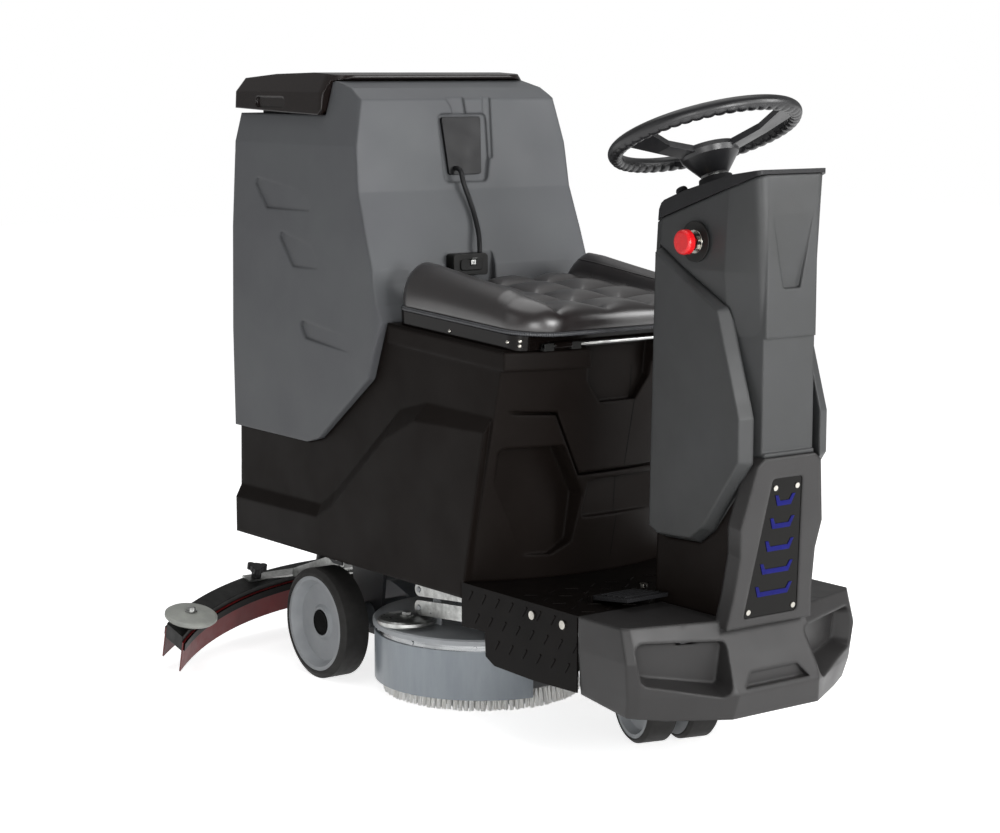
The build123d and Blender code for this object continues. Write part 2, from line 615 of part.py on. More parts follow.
with BuildPart() as panel_chevrons:
    with BuildSketch(FRAME_FACE.offset(-2)):
        for row in range(5):
            up = 42 + row * 42
            spread = 44 - row * 5.0
            with BuildLine():
                closed_outline([(-spread, up + 20), (8 - spread, up), (spread - 8, up), (spread, up + 20),
                                (spread - 7, up + 20), (spread - 13, up + 9), (13 - spread, up + 9),
                                (7 - spread, up + 20)])
            make_face()
    extrude(amount=1.2)

with BuildPart() as panel_screws:
    with BuildSketch(FRAME_FACE.offset(-2)):
        with Locations((-54, 16), (54, 16), (-26, 244), (26, 244)):
            Circle(5)
    extrude(amount=2)

# ================================================================ steering column
COLUMN_HALF = 80.0
ESTOP_AHEAD = 955.0
ESTOP_Z = 953.0
ESTOP_TRAVEL = 6.0
KEY_AHEAD = 888.0
KEY_Z = 965.0
KEY_BARREL_R = 14.0
KEY_SEAT = 78.0
COVER_OUT = 110.0              # half width the column's side cuts start from
COVER_THICK = 26.0
column_side = [(843, 428), (852, 760), (831, 908), (839, 982), (1057, 1058), (1100, 1074), (1100, 573),
               (999, 443), (962, 416), (870, 412)]
cover_side = [(850, 947), (1033, 845), (1094, 655), (1094, 575), (999, 443), (962, 416), (870, 412), (838, 428)]
CONSOLE_SIDE = 95.0
V_LEAN = atan2(7, 128)         # the floor of the V comes forward going up
V_FLOOR = Plane(origin=(0, fwd(1093), 877), x_dir=(1, 0, 0), z_dir=(0, -cos(V_LEAN), -sin(V_LEAN)))
STEER_DIR = Vector(0, sin(radians(COLUMN_TILT)), cos(radians(COLUMN_TILT)))
WHEEL_PLANE = Plane(origin=(0, fwd(WHEEL_CENTRE_AHEAD), WHEEL_CENTRE_Z), x_dir=(1, 0, 0), z_dir=STEER_DIR)

with BuildPart() as lower_column:
    with BuildSketch(Plane.YZ.offset(-COLUMN_HALF)):
        with BuildLine():
            closed_outline(side_points([(838, PLATFORM_TOP), (843, 427), (870, 411), (962, 415), (999, 442),
                                        (1060, 520), (1060 - FRAME_DEPTH + 14, PLATFORM_TOP)]))
        make_face()
    extrude(amount=2 * COLUMN_HALF)
    # it stops behind the A-shaped frame
    with BuildSketch(FRAME_FACE.offset(-FRAME_DEPTH)):
        with Locations((0, 150)):
            Rectangle(260, 500)
    extrude(amount=80, mode=Mode.SUBTRACT)
    with BuildSketch(Plane.XY.offset(PLATFORM_TOP - 1)):
        with Locations((0, fwd(938))):
            Rectangle(118, 128)
    extrude(amount=300, mode=Mode.SUBTRACT)

with BuildPart() as console_shell:
    with BuildSketch(Plane.YZ.offset(-COVER_OUT)):
        with BuildLine():
            closed_outline(side_points(column_side))
        make_face()
    extrude(amount=2 * COVER_OUT)
    with BuildSketch(Plane.XY.offset(400)):
        with BuildLine():
            closed_outline([(66, fwd(820)), (COLUMN_HALF, fwd(850)), (COLUMN_HALF, fwd(1030)), (58, fwd(1101)),
                            (-58, fwd(1101)), (-COLUMN_HALF, fwd(1030)), (-COLUMN_HALF, fwd(850)), (-66, fwd(820))])
        make_face()
    extrude(amount=700, mode=Mode.INTERSECT)
    # widened top of the console, drawn in to a rounded front
    console_levels = ((792, 82, 57), (905, CONSOLE_SIDE, 62), (1084, 84, 80))
    for console_level in zip(console_levels, console_levels[1:]):
        for height, half, front_half in console_level:
            with BuildSketch(Plane.XY.offset(height)) as console_plan:
                with BuildLine():
                    closed_outline([(half - 12, fwd(834)), (half, fwd(860)), (half, fwd(1030)), (front_half, fwd(1100)),
                                    (-front_half, fwd(1100)), (-half, fwd(1030)), (-half, fwd(860)), (12 - half, fwd(834))])
                make_face()
                fillet(console_plan.vertices().group_by(Axis.Y)[0], 22)
        loft(ruled=True)
    with BuildSketch(Plane.YZ.offset(-COVER_OUT)):
        with BuildLine():
            closed_outline(side_points([(800, 968), (839, 982), (1057, 1058), (1120, 1080), (1120, 1200), (800, 1200)]))
        make_face()
    extrude(amount=2 * COVER_OUT, mode=Mode.SUBTRACT)
    # front set back below the mask, and the V let into the mask, deepest at its foot
    with BuildSketch(Plane.XZ.offset(-fwd(1095))):
        with Locations((0, 691)):
            Rectangle(2 * COLUMN_HALF, 200)
    extrude(amount=40, mode=Mode.SUBTRACT)
    with BuildSketch(V_FLOOR) as v_recess:
        with BuildLine():
            closed_outline([(-20, 0), (20, 0), (48, 128), (-48, 128)])
        make_face()
        fillet(v_recess.vertices().group_by(Axis.Y)[0], 5)
    extrude(amount=40, mode=Mode.SUBTRACT)
    # hollow for the steering shaft
    with BuildSketch(Plane.XY.offset(380)):
        with Locations((0, fwd(938))):
            Rectangle(118, 128)
    extrude(amount=720, mode=Mode.SUBTRACT)
    # hole of the emergency stop's stem, deep enough for its travel
    with BuildSketch(Plane.YZ.offset(-COVER_OUT)):
        with Locations((fwd(ESTOP_AHEAD), ESTOP_Z)):
            Circle(9)
    extrude(amount=COVER_OUT - CONSOLE_SIDE + ESTOP_TRAVEL + 4, mode=Mode.SUBTRACT)
    # seat of the key switch
    with BuildSketch(Plane.YZ.offset(COVER_OUT)):
        with Locations((fwd(KEY_AHEAD), KEY_Z)):
            Circle(KEY_BARREL_R)
    extrude(amount=KEY_SEAT - COVER_OUT, mode=Mode.SUBTRACT)
    # beds of the side covers and of the A-shaped frame
    for side in (-1, 1):
        with BuildSketch(Plane.YZ.offset(side * COLUMN_HALF)):
            with BuildLine():
                closed_outline(side_points(cover_side))
            make_face()
        extrude(amount=side * 40, mode=Mode.SUBTRACT)
    with BuildSketch(FRAME_FACE.offset(10)):
        with BuildLine():
            closed_outline(frame_outline)
        make_face()
        offset(amount=0.5, kind=Kind.INTERSECTION)
    extrude(amount=-FRAME_DEPTH - 10.5, mode=Mode.SUBTRACT)

with BuildPart() as column_covers:
    for side in (-1, 1):
        with BuildSketch(Plane.YZ.offset(side * (COLUMN_HALF + 0.1))) as cover_face:
            with BuildLine():
                closed_outline(side_points(cover_side))
            make_face()
            fillet(cover_face.vertices(), 9)
        extrude(amount=side * COVER_THICK, taper=22)
    with BuildSketch(FRAME_FACE.offset(10)):
        with BuildLine():
            closed_outline(frame_outline)
        make_face()
        offset(amount=0.5, kind=Kind.INTERSECTION)
    extrude(amount=-FRAME_DEPTH - 10.5, mode=Mode.SUBTRACT)


def along_column(distance):
    """Plane square to the steering axis, this far above the wheel's centre."""
    return WHEEL_PLANE.offset(distance)


with BuildPart() as console_cap:
    with BuildSketch(Plane.YZ.offset(-92)):
        with BuildLine():
            closed_outline(side_points([(836, 983), (1057, 1058.3), (1100, 1074.3), (1100, 1082), (1030, 1071),
                                        (919, 1041), (866, 1022), (842, 1004)]))
        make_face()
    extrude(amount=184)
    with BuildSketch(Plane.XY.offset(960)) as cap_plan:
        with BuildLine():
            closed_outline([(80, fwd(836)), (92, fwd(858)), (90, fwd(1040)), (81, fwd(1100)),
                            (-81, fwd(1100)), (-90, fwd(1040)), (-92, fwd(858)), (-80, fwd(836))])
        make_face()
        fillet(cap_plan.vertices().group_by(Axis.Y)[0], 14)
    extrude(amount=160, mode=Mode.INTERSECT)
    # boss round the steering shaft
    with BuildSketch(along_column(-118)):
        Circle(38)
    extrude(amount=36, taper=12)
    with BuildSketch(along_column(-150)):
        Circle(SHAFT_R + RUNNING_GAP)
    extrude(amount=100, mode=Mode.SUBTRACT)

# ---------------------------------------------------------------- steering wheel and shafts
HUB_DROP = 34.0
HUB_R = 52.0
JOINT_Z = 975.0
joint_distance = -(WHEEL_CENTRE_Z - JOINT_Z) / cos(radians(COLUMN_TILT))
SPOKE_TURN = -30.0             # the wheel rests turned to the driver's right
HORN_R = 30.0
HORN_TRAVEL = 3.0

with BuildPart() as steering_wheel:
    with BuildSketch(radial(WHEEL_PLANE)):
        with Locations((STEERING_WHEEL_R, 0)):
            Circle(RIM_TUBE_R)
    revolve(axis=spin_axis(WHEEL_PLANE))
    # hub, a shallow cone with a well for the horn button
    with BuildSketch(radial(WHEEL_PLANE)):
        with BuildLine():
            closed_outline([(SHAFT_R - 3, -HUB_DROP + 6), (HUB_R, -HUB_DROP + 8), (HUB_R + 3, -HUB_DROP),
                            (HUB_R, -HUB_DROP - 10), (26, -HUB_DROP - 42), (SHAFT_R - 3, -HUB_DROP - 42)])
        make_face()
    revolve(axis=spin_axis(WHEEL_PLANE))
    # three arms, wide where they meet the rim
    for turn in (180, 60, -60):
        angle = radians(turn + SPOKE_TURN + 30)
        arm_dir = WHEEL_PLANE.x_dir * cos(angle) - WHEEL_PLANE.y_dir * sin(angle)
        for reach, half, drop, thick in ((HUB_R - 12, 20, HUB_DROP + 1, 12), (106, 19, 22, 11),
                                         (STEERING_WHEEL_R - 6, 34, 3, 10)):
            arm_plane = Plane(origin=WHEEL_PLANE.origin + arm_dir * reach - STEER_DIR * drop,
                              x_dir=STEER_DIR.cross(arm_dir), z_dir=arm_dir)
            with BuildSketch(arm_plane):
                Rectangle(2 * half, thick)
        loft(ruled=True)
    with BuildSketch(along_column(-HUB_DROP + 8)):
        Circle(HORN_R + 0.4)
    extrude(amount=-9, mode=Mode.SUBTRACT)

with BuildPart() as horn_button:
    with BuildSketch(along_column(-HUB_DROP + 8 - 9 + HORN_TRAVEL + 0.3)):
        Circle(HORN_R)
    extrude(amount=11)
    fillet(horn_button.edges().sort_by(Axis(WHEEL_PLANE.origin, STEER_DIR))[-1], 3)

with BuildPart() as steering_shaft:
    with BuildSketch(along_column(-HUB_DROP - 2)):
        Circle(SHAFT_R - 3 - SNUG)
    extrude(amount=-42)
    with BuildSketch(along_column(-HUB_DROP - 42)):
        Circle(SHAFT_R)
    extrude(amount=joint_distance + 20 + HUB_DROP + 42)
    # upper yoke of the joint
    with BuildSketch(along_column(joint_distance + 14)):
        Circle(20)
    extrude(amount=8)
    for side in (-1, 1):
        with BuildSketch(Plane.YZ.offset(side * 14)):
            with Locations(Location((fwd(SHAFT_AHEAD), JOINT_Z))):
                with Locations(Location((0, 0), -COLUMN_TILT)):
                    with Locations((0, 7)):
                        SlotOverall(30, 14, rotation=90)
        extrude(amount=side * 5)

with BuildPart() as lower_shaft:
    with BuildSketch(Plane.XY.offset(CHAIN_Z - 3)):
        with Locations((0, fwd(SHAFT_AHEAD))):
            Circle(SHAFT_R)
    extrude(amount=JOINT_Z - 40 - CHAIN_Z + 3)
    with BuildSketch(Plane.XY.offset(CHAIN_Z)):
        with Locations((0, fwd(SHAFT_AHEAD))):
            Circle(SHAFT_SPROCKET_R)
    extrude(amount=CHAIN_HEIGHT)
    with BuildSketch(Plane.XY.offset(JOINT_Z - 40)):
        with Locations((0, fwd(SHAFT_AHEAD))):
            Circle(7.5)
    extrude(amount=32)
    with BuildSketch(Plane.XY.offset(JOINT_Z - 8)):
        with Locations((0, fwd(SHAFT_AHEAD))):
            Rectangle(14, 14)
    extrude(amount=14)

# ---------------------------------------------------------------- controls on the column
with BuildPart() as console_fittings:
    with BuildSketch(Plane.YZ.offset(-CONSOLE_SIDE)):
        with Locations((fwd(ESTOP_AHEAD), ESTOP_Z)):
            Circle(36)
    extrude(amount=-3)
    with BuildSketch(Plane.YZ.offset(-CONSOLE_SIDE - 3)):
        with Locations((fwd(ESTOP_AHEAD), ESTOP_Z)):
            RegularPolygon(17, 6)
    extrude(amount=-7)
    with BuildSketch(Plane.YZ.offset(-CONSOLE_SIDE - 40)):
        with Locations((fwd(ESTOP_AHEAD), ESTOP_Z)):
            Circle(8 + RUNNING_GAP)
    extrude(amount=50, mode=Mode.SUBTRACT)

with BuildPart() as estop_button:
    with BuildSketch(Plane.YZ.offset(-CONSOLE_SIDE - 1)):
        with Locations((fwd(ESTOP_AHEAD), ESTOP_Z)):
            Circle(8)
    extrude(amount=-18)
    with BuildSketch(Plane.YZ.offset(-CONSOLE_SIDE - 10 - ESTOP_TRAVEL - 0.4)):
        with Locations((fwd(ESTOP_AHEAD), ESTOP_Z)):
            Circle(18)
    extrude(amount=-6)
    with BuildSketch(Plane.YZ.offset(-CONSOLE_SIDE - 20)):
        with Locations((fwd(ESTOP_AHEAD), ESTOP_Z)):
            Circle(22)
    extrude(amount=-15)
    fillet(estop_button.edges().group_by(Axis.X)[0], 6)

# ================================================================ pedal
PEDAL_LENGTH = 104.0
with BuildPart() as accelerator_pedal:
    with BuildSketch(Plane.YZ.offset(PEDAL_X - PEDAL_HALF)):
        with BuildLine():
            closed_outline([(fwd(PEDAL_HEEL + along), PLATFORM_TOP + up) for along, up in
                            ((-6, 1.8), (-6, 11), (8, 14), (PEDAL_LENGTH, 24), (PEDAL_LENGTH, 17), (10, 6),
                             (-2, 1.8))])
        make_face()
        with Locations((fwd(PEDAL_PIN_AHEAD), PEDAL_PIN_Z)):
            Circle(PEDAL_PIN_R + RUNNING_GAP / 2, mode=Mode.SUBTRACT)
    extrude(amount=2 * PEDAL_HALF)
    # ribs of the tread
    with BuildSketch(Plane.YZ.offset(PEDAL_X - 40)):
        for rib in range(5):
            with Locations((fwd(PEDAL_HEEL + 22 + rib * 16), PLATFORM_TOP + 16.2 + rib * 1.7)):
                Rectangle(4, 4)
    extrude(amount=80)

# ================================================================ brush deck
BRUSH_Y = fwd(BRUSH_AHEAD)
BRUSH_PLANE = Plane(origin=(BRUSH_X, BRUSH_Y, 0))
SKIRT_OPEN = 60.0              # degrees left open at the front
BAND_LOW, BAND_HIGH = 126.0, 138.0
MOTOR_TOP = 246.0
BRUSH_SHAFT_R = 12.0
BRISTLE_LOW = 1.0
BRISTLE_TOP = 40.0
BRUSH_BLOCK_TOP = 78.0
BRUSH_HUB_TOP = 90.0
ROLLER_X, ROLLER_AHEAD, ROLLER_R = -234.0, 259.0, 59.5
ROLLER_LOW = 158.0
ROLLER_PIN_R = 9.0

with BuildPart() as deck_housing:
    with BuildSketch(radial(BRUSH_PLANE)):
        with BuildLine():
            closed_outline([(BRUSH_SHAFT_R + 6, DECK_TOP - 8), (206, DECK_TOP - 8), (206, 119), (212.8, 119),
                            (212.8, BAND_HIGH), (DECK_R, BAND_HIGH), (DECK_R, DECK_TOP - 3), (DECK_R - 3, DECK_TOP),
                            (BRUSH_SHAFT_R + 6, DECK_TOP)])
        make_face()
    revolve(axis=spin_axis(BRUSH_PLANE))
    # link brackets and their pins
    for side, plate_x in ((-1, -170.0), (1, BRUSH_X + LINK_X - LINK_SHEET / 2 - 0.4)):
        with BuildSketch(Plane.YZ.offset(plate_x)):
            with BuildLine():
                closed_outline(side_points([(BRUSH_AHEAD + 26, DECK_TOP), (BRUSH_AHEAD + 24, 236),
                                            (BRUSH_AHEAD + 4, 236), (BRUSH_AHEAD - 6, DECK_TOP)]))
            make_face()
        extrude(amount=-3)
        far = BRUSH_X + side * (LINK_X + LINK_SHEET / 2 + 2)
        with BuildSketch(Plane.YZ.offset(plate_x - (3 if side < 0 else 0))):
            with Locations(*[(fwd(LINK_AHEAD - LINK_REACH), height - LINK_DROP) for height in LINK_Z]):
                Circle(PIN_R)
        extrude(amount=far - plate_x + (3 if side < 0 else 0))

    # boss and pin of the guide roller
    with BuildSketch(Plane.XY.offset(DECK_TOP)):
        with Locations((ROLLER_X, fwd(ROLLER_AHEAD))):
            Circle(16)
    extrude(amount=ROLLER_LOW - DECK_TOP - 0.3)
    with BuildSketch(Plane.XY.offset(DECK_TOP)):
        with Locations((ROLLER_X, fwd(ROLLER_AHEAD))):
            Circle(ROLLER_PIN_R)
    extrude(amount=23.6)

with BuildPart() as band_screw:
    with BuildSketch(Plane(origin=(BRUSH_X, BRUSH_Y, (BAND_LOW + BAND_HIGH) / 2), z_dir=(1, 0, 0))):
        Circle(4.5)
    extrude(amount=218.5)
    with BuildSketch(BRUSH_PLANE.offset(100)):
        Circle(215)
    extrude(amount=60, mode=Mode.SUBTRACT)

with BuildPart() as deck_band:
    with BuildSketch(BRUSH_PLANE.offset(BAND_LOW)):
        Circle(216)
        Circle(212.8, mode=Mode.SUBTRACT)
    extrude(amount=BAND_HIGH - BAND_LOW)
    for turn in range(0, 360, 36):
        add(band_screw.part.rotate(spin_axis(BRUSH_PLANE), turn + 14))

with BuildPart() as deck_skirt:
    with BuildSketch(Plane.XY.offset(SKIRT_BOTTOM)):
        with Locations((BRUSH_X, BRUSH_Y)):
            Circle(219)
            Circle(213.2, mode=Mode.SUBTRACT)
            with BuildLine():
                closed_outline([(0, 0), (-260 * tan(radians(SKIRT_OPEN / 2)), -260),
                                (260 * tan(radians(SKIRT_OPEN / 2)), -260)])
            make_face(mode=Mode.SUBTRACT)
    extrude(amount=BAND_LOW - SKIRT_BOTTOM)

with BuildPart() as scrub_brush:
    with BuildSketch(BRUSH_PLANE.offset(BRISTLE_TOP)):
        Circle(BRISTLE_R - 1)
    extrude(amount=BRUSH_BLOCK_TOP - BRISTLE_TOP)
    with BuildSketch(BRUSH_PLANE.offset(BRUSH_BLOCK_TOP)):
        Circle(34)
    extrude(amount=BRUSH_HUB_TOP - BRUSH_BLOCK_TOP)
    with BuildSketch(BRUSH_PLANE.offset(BRUSH_HUB_TOP)):
        Circle(BRUSH_SHAFT_R + RUNNING_GAP)
    extrude(amount=-20, mode=Mode.SUBTRACT)
    with BuildSketch(BRUSH_PLANE.offset(BRISTLE_LOW)):
        for ring_r, count in ((100, 36), (121, 42), (142, 48), (163, 54), (182, 60), (199, 66)):
            with PolarLocations(ring_r, count):
                RegularPolygon(5, 3)
    extrude(amount=BRISTLE_TOP - BRISTLE_LOW + 1)

with BuildPart() as brush_motor:
    with BuildSketch(BRUSH_PLANE.offset(DECK_TOP)):
        Circle(58)
    extrude(amount=34)
    with BuildSketch(BRUSH_PLANE.offset(DECK_TOP + 34)):
        Circle(48)
    extrude(amount=MOTOR_TOP - DECK_TOP - 34)
    fillet(brush_motor.edges().group_by(Axis.Z)[-1], 8)
    # drive shaft down into the brush
    with BuildSketch(BRUSH_PLANE.offset(DECK_TOP)):
        Circle(BRUSH_SHAFT_R)
    extrude(amount=BRUSH_HUB_TOP - 18 - DECK_TOP)

roller_plane = Plane(origin=(ROLLER_X, fwd(ROLLER_AHEAD), ROLLER_LOW))
with BuildPart() as guide_roller:
    with BuildSketch(radial(roller_plane)) as roller_section:
        with BuildLine():
            closed_outline([(ROLLER_PIN_R + RUNNING_GAP, 0), (ROLLER_R - 3, 0), (ROLLER_R, 3), (ROLLER_R, 9),
                            (ROLLER_R - 5, 12), (28, 15), (ROLLER_PIN_R + RUNNING_GAP, 15)])
        make_face()
    revolve(axis=spin_axis(roller_plane))


def lift_link(front_z, height):
    """Pair of flat links, eye on the chassis pin in front, loose eye on the deck pin behind."""
    slope = degrees(atan2(LINK_DROP, LINK_REACH))
    with BuildPart() as made:
        for side in (-1, 1):
            with BuildSketch(Plane.YZ.offset(BRUSH_X + side * LINK_X - LINK_SHEET / 2)):
                middle = (fwd(LINK_AHEAD - LINK_REACH / 2), front_z - LINK_DROP / 2)
                with Locations(Location(middle, -slope)):
                    SlotCenterToCenter(sqrt(LINK_REACH ** 2 + LINK_DROP ** 2), height)
                with Locations((fwd(LINK_AHEAD), front_z)):
                    Circle(PIN_R + RUNNING_GAP, mode=Mode.SUBTRACT)
                with Locations((fwd(LINK_AHEAD - LINK_REACH), front_z - LINK_DROP)):
                    Circle(EYE_R, mode=Mode.SUBTRACT)
            extrude(amount=LINK_SHEET)
    return made.part


# ================================================================ squeegee
SQ = Plane(origin=(0, fwd(-SQUEEGEE_ORIGIN_BEHIND), SQUEEGEE_ORIGIN_Z), x_dir=(1, 0, 0),
           z_dir=(0, -sin(radians(SQUEEGEE_PITCH)), cos(radians(SQUEEGEE_PITCH))))
ARC_CENTRE = (0, SQUEEGEE_APEX - SQUEEGEE_ARC_R)
BLADE = 3.6
END_ROLLER_X = SQUEEGEE_HALF - 38
BODY_LOW, BODY_HIGH = 46.0, 78.0
BODY_IN, BODY_OUT = SQUEEGEE_ARC_R + 0.2, SQUEEGEE_ARC_R + 54
PLATE_THICK = 4.0
SWIVEL_AT = 168.0
SWIVEL_R = 8.0


def arc_band(inner, outer, half_width=SQUEEGEE_HALF):
    """Band of the squeegee's sweep between two radii, in its own plane, cut off square at both ends."""
    with BuildSketch(Plane.XY) as band:
        with Locations(ARC_CENTRE):
            Circle(outer)
            Circle(inner, mode=Mode.SUBTRACT)
        with Locations((0, SQUEEGEE_APEX)):
            Rectangle(2 * half_width, 2 * SQUEEGEE_ARC_R, mode=Mode.INTERSECT)
    return band.sketch_local


with BuildPart() as squeegee_body:
    with BuildSketch(SQ.offset(BODY_LOW)):
        add(arc_band(BODY_IN + BLADE, BODY_OUT))
    extrude(amount=BODY_HIGH - BODY_LOW)
    with BuildSketch(SQ.offset(BODY_LOW)):
        add(arc_band(BODY_IN + 20, BODY_OUT - 20, SQUEEGEE_HALF - 12))
    extrude(amount=BODY_HIGH - BODY_LOW - 8, mode=Mode.SUBTRACT)
    # suction spigot and the roller posts
    with BuildSketch(SQ.offset(BODY_HIGH)):
        with Locations((0, SQUEEGEE_APEX + 38)):
            Circle(24)
    extrude(amount=44)
    with BuildSketch(SQ.offset(BODY_HIGH - 10)):
        with Locations((0, SQUEEGEE_APEX + 38)):
            Circle(20)
    extrude(amount=60, mode=Mode.SUBTRACT)
    with BuildSketch(SQ.offset(BODY_HIGH)):
        with Locations(*[(side * END_ROLLER_X, 26) for side in (-1, 1)]):
            Circle(16)
    extrude(amount=20)
    with BuildSketch(SQ.offset(BODY_HIGH)):
        with Locations(*[(side * END_ROLLER_X, 26) for side in (-1, 1)]):
            Circle(8)
    extrude(amount=36)

with BuildPart() as squeegee_blades:
    with BuildSketch(SQ):
        add(arc_band(BODY_IN, BODY_IN + BLADE - 0.1))
        add(arc_band(BODY_OUT + 0.1, BODY_OUT + BLADE))
    extrude(amount=BODY_HIGH - 12)

with BuildPart() as blade_strap:
    with BuildSketch(SQ.offset(BODY_LOW + 2)):
        add(arc_band(BODY_IN - 4, BODY_IN - 0.1, SQUEEGEE_HALF - 4))
        add(arc_band(BODY_OUT + BLADE + 0.1, BODY_OUT + BLADE + 4, SQUEEGEE_HALF - 4))
    extrude(amount=16)


def end_roller(side):
    """Grey bumper wheel lying flat over one end of the squeegee."""
    plane = Plane(origin=SQ.from_local_coords((side * END_ROLLER_X, 26, BODY_HIGH + 20.3)), x_dir=SQ.x_dir, z_dir=SQ.z_dir)
    with BuildPart() as made:
        with BuildSketch(radial(plane)):
            with BuildLine():
                closed_outline([(8 + RUNNING_GAP, 0), (52, 0), (55, 3), (55, 8), (51, 11), (22, 15), (8 + RUNNING_GAP, 15)])
            make_face()
        revolve(axis=spin_axis(plane))
    return made.part


PLATE_LOW = BODY_HIGH + 0.2
KNOB_X = 205.0
with BuildPart() as squeegee_plate:
    with BuildSketch(SQ.offset(PLATE_LOW)):
        with Locations((0, 196)):
            Rectangle(464, 30)
        with Locations((0, SWIVEL_AT + 4)):
            Rectangle(70, 44)
        with Locations((0, SWIVEL_AT)):
            Circle(SWIVEL_R + RUNNING_GAP, mode=Mode.SUBTRACT)
        with Locations((0, SQUEEGEE_APEX + 38)):
            Circle(25, mode=Mode.SUBTRACT)
    extrude(amount=PLATE_THICK)
    with BuildSketch(SQ.offset(PLATE_LOW + PLATE_THICK)):
        with Locations((-KNOB_X, 196), (KNOB_X, 196)):
            Circle(5)
    extrude(amount=14)


def hand_knob(side):
    """Three-lobed clamping knob on its stud."""
    with BuildPart() as made:
        with BuildSketch(SQ.offset(PLATE_LOW + PLATE_THICK + 0.2)) as foot:
            with Locations((side * KNOB_X, 196)):
                Circle(11)
                Circle(5 + RUNNING_GAP, mode=Mode.SUBTRACT)
        extrude(amount=14)
        with BuildSketch(SQ.offset(PLATE_LOW + PLATE_THICK + 14.2)):
            with Locations((side * KNOB_X, 196)):
                Circle(15)
                with PolarLocations(16, 3):
                    Circle(8)
        extrude(amount=13)
    return made.part


with BuildPart() as squeegee_hanger:
    for side in (-1, 1):
        with BuildSketch(Plane.YZ.offset(side * ARM_X - 4)):
            with BuildLine():
                closed_outline([(fwd(-LIFT_HINGE_BEHIND) - 12, LIFT_HINGE_Z), (fwd(-LIFT_HINGE_BEHIND), LIFT_HINGE_Z + 13),
                                (fwd(-346), 152), (fwd(-350), 138), (fwd(-344), 132), (fwd(-LIFT_HINGE_BEHIND), LIFT_HINGE_Z - 13)])
            make_face()
        extrude(amount=8)
    # pin through both pairs of ears
    for side in (-1, 1):
        with BuildSketch(Plane.YZ.offset(side * ARM_X - 16)):
            with Locations((fwd(-LIFT_HINGE_BEHIND), LIFT_HINGE_Z)):
                Circle(PIN_R - RUNNING_GAP)
        extrude(amount=32)
    with BuildSketch(SQ.offset(PLATE_LOW + PLATE_THICK + 0.3)):
        with Locations((0, SWIVEL_AT)):
            Rectangle(2 * ARM_X, 22)
    extrude(amount=9)
    with BuildSketch(SQ.offset(PLATE_LOW)):
        with Locations((0, SWIVEL_AT)):
            Circle(SWIVEL_R)
    extrude(amount=22)

# ================================================================ recovery tank
LID_SEAT_Z = 1160.0
NECK_TOP = 1190.0
tank_side = [(-345, 491.3), (-47, 489.3), (-2.4, 501.4), (184.0, 643.0), (226.8, 758.6), (213, 790), (203, 830),
             (200, 860), (145, 1010), (120, 1192), (80, 1214), (20, 1228), (10, 1226), (4, LID_SEAT_Z),
             (-345, LID_SEAT_Z)]


def tank_plan(height, half, front, rear, corner, rear_corner):
    """Plan outline of the tank at one height: wide front corners and tight rear ones."""
    with BuildSketch(Plane.XY.offset(height)) as plan:
        with Locations((0, fwd((front + rear) / 2))):
            Rectangle(2 * half, front - rear)
        fillet(plan.vertices().group_by(Axis.Y)[0], corner)
        fillet(plan.vertices().group_by(Axis.Y)[-1], rear_corner)
    return plan.sketch


def tank_block(shrink):
    """Three stacked lofts: wide body, drawn in towards the shoulder; shrink is the wall."""
    levels = ((480, 271, 300, -346), (700, 273, 256, -347), (920, 270, 256, -346), (1100, 262, 180, -343),
              (1232, 234, 150, -330))
    with BuildPart() as made:
        for (low, *low_plan), (high, *high_plan) in zip(levels, levels[1:]):
            for height, (half, front, rear) in ((low, low_plan), (high, high_plan)):
                add(tank_plan(height, half - shrink, front - shrink, rear + shrink, 54 - shrink, REAR_CORNER - shrink))
            loft(ruled=True)
    return made.part


with BuildPart() as tank_cavity:
    with BuildSketch(Plane.YZ.offset(-HALF)):
        with BuildLine():
            closed_outline(side_points([(-338, 498), (-46, 496), (-5, 507), (178, 647), (212, 752),
                                        (192, 786), (180, 830), (178, 858), (127, 1008), (103, 1182), (70, 1202),
                                        (24, 1216), (14, 1190), (6, LID_SEAT_Z - TANK_WALL),
                                        (-338, LID_SEAT_Z - TANK_WALL)]))
        make_face()
    extrude(amount=BODY_WIDTH)
    add(tank_block(TANK_WALL), mode=Mode.INTERSECT)

NECK_FRONT, NECK_REAR, NECK_HALF = -62.0, -318.0, 214.0
FLUTE_DEPTH = 5.5
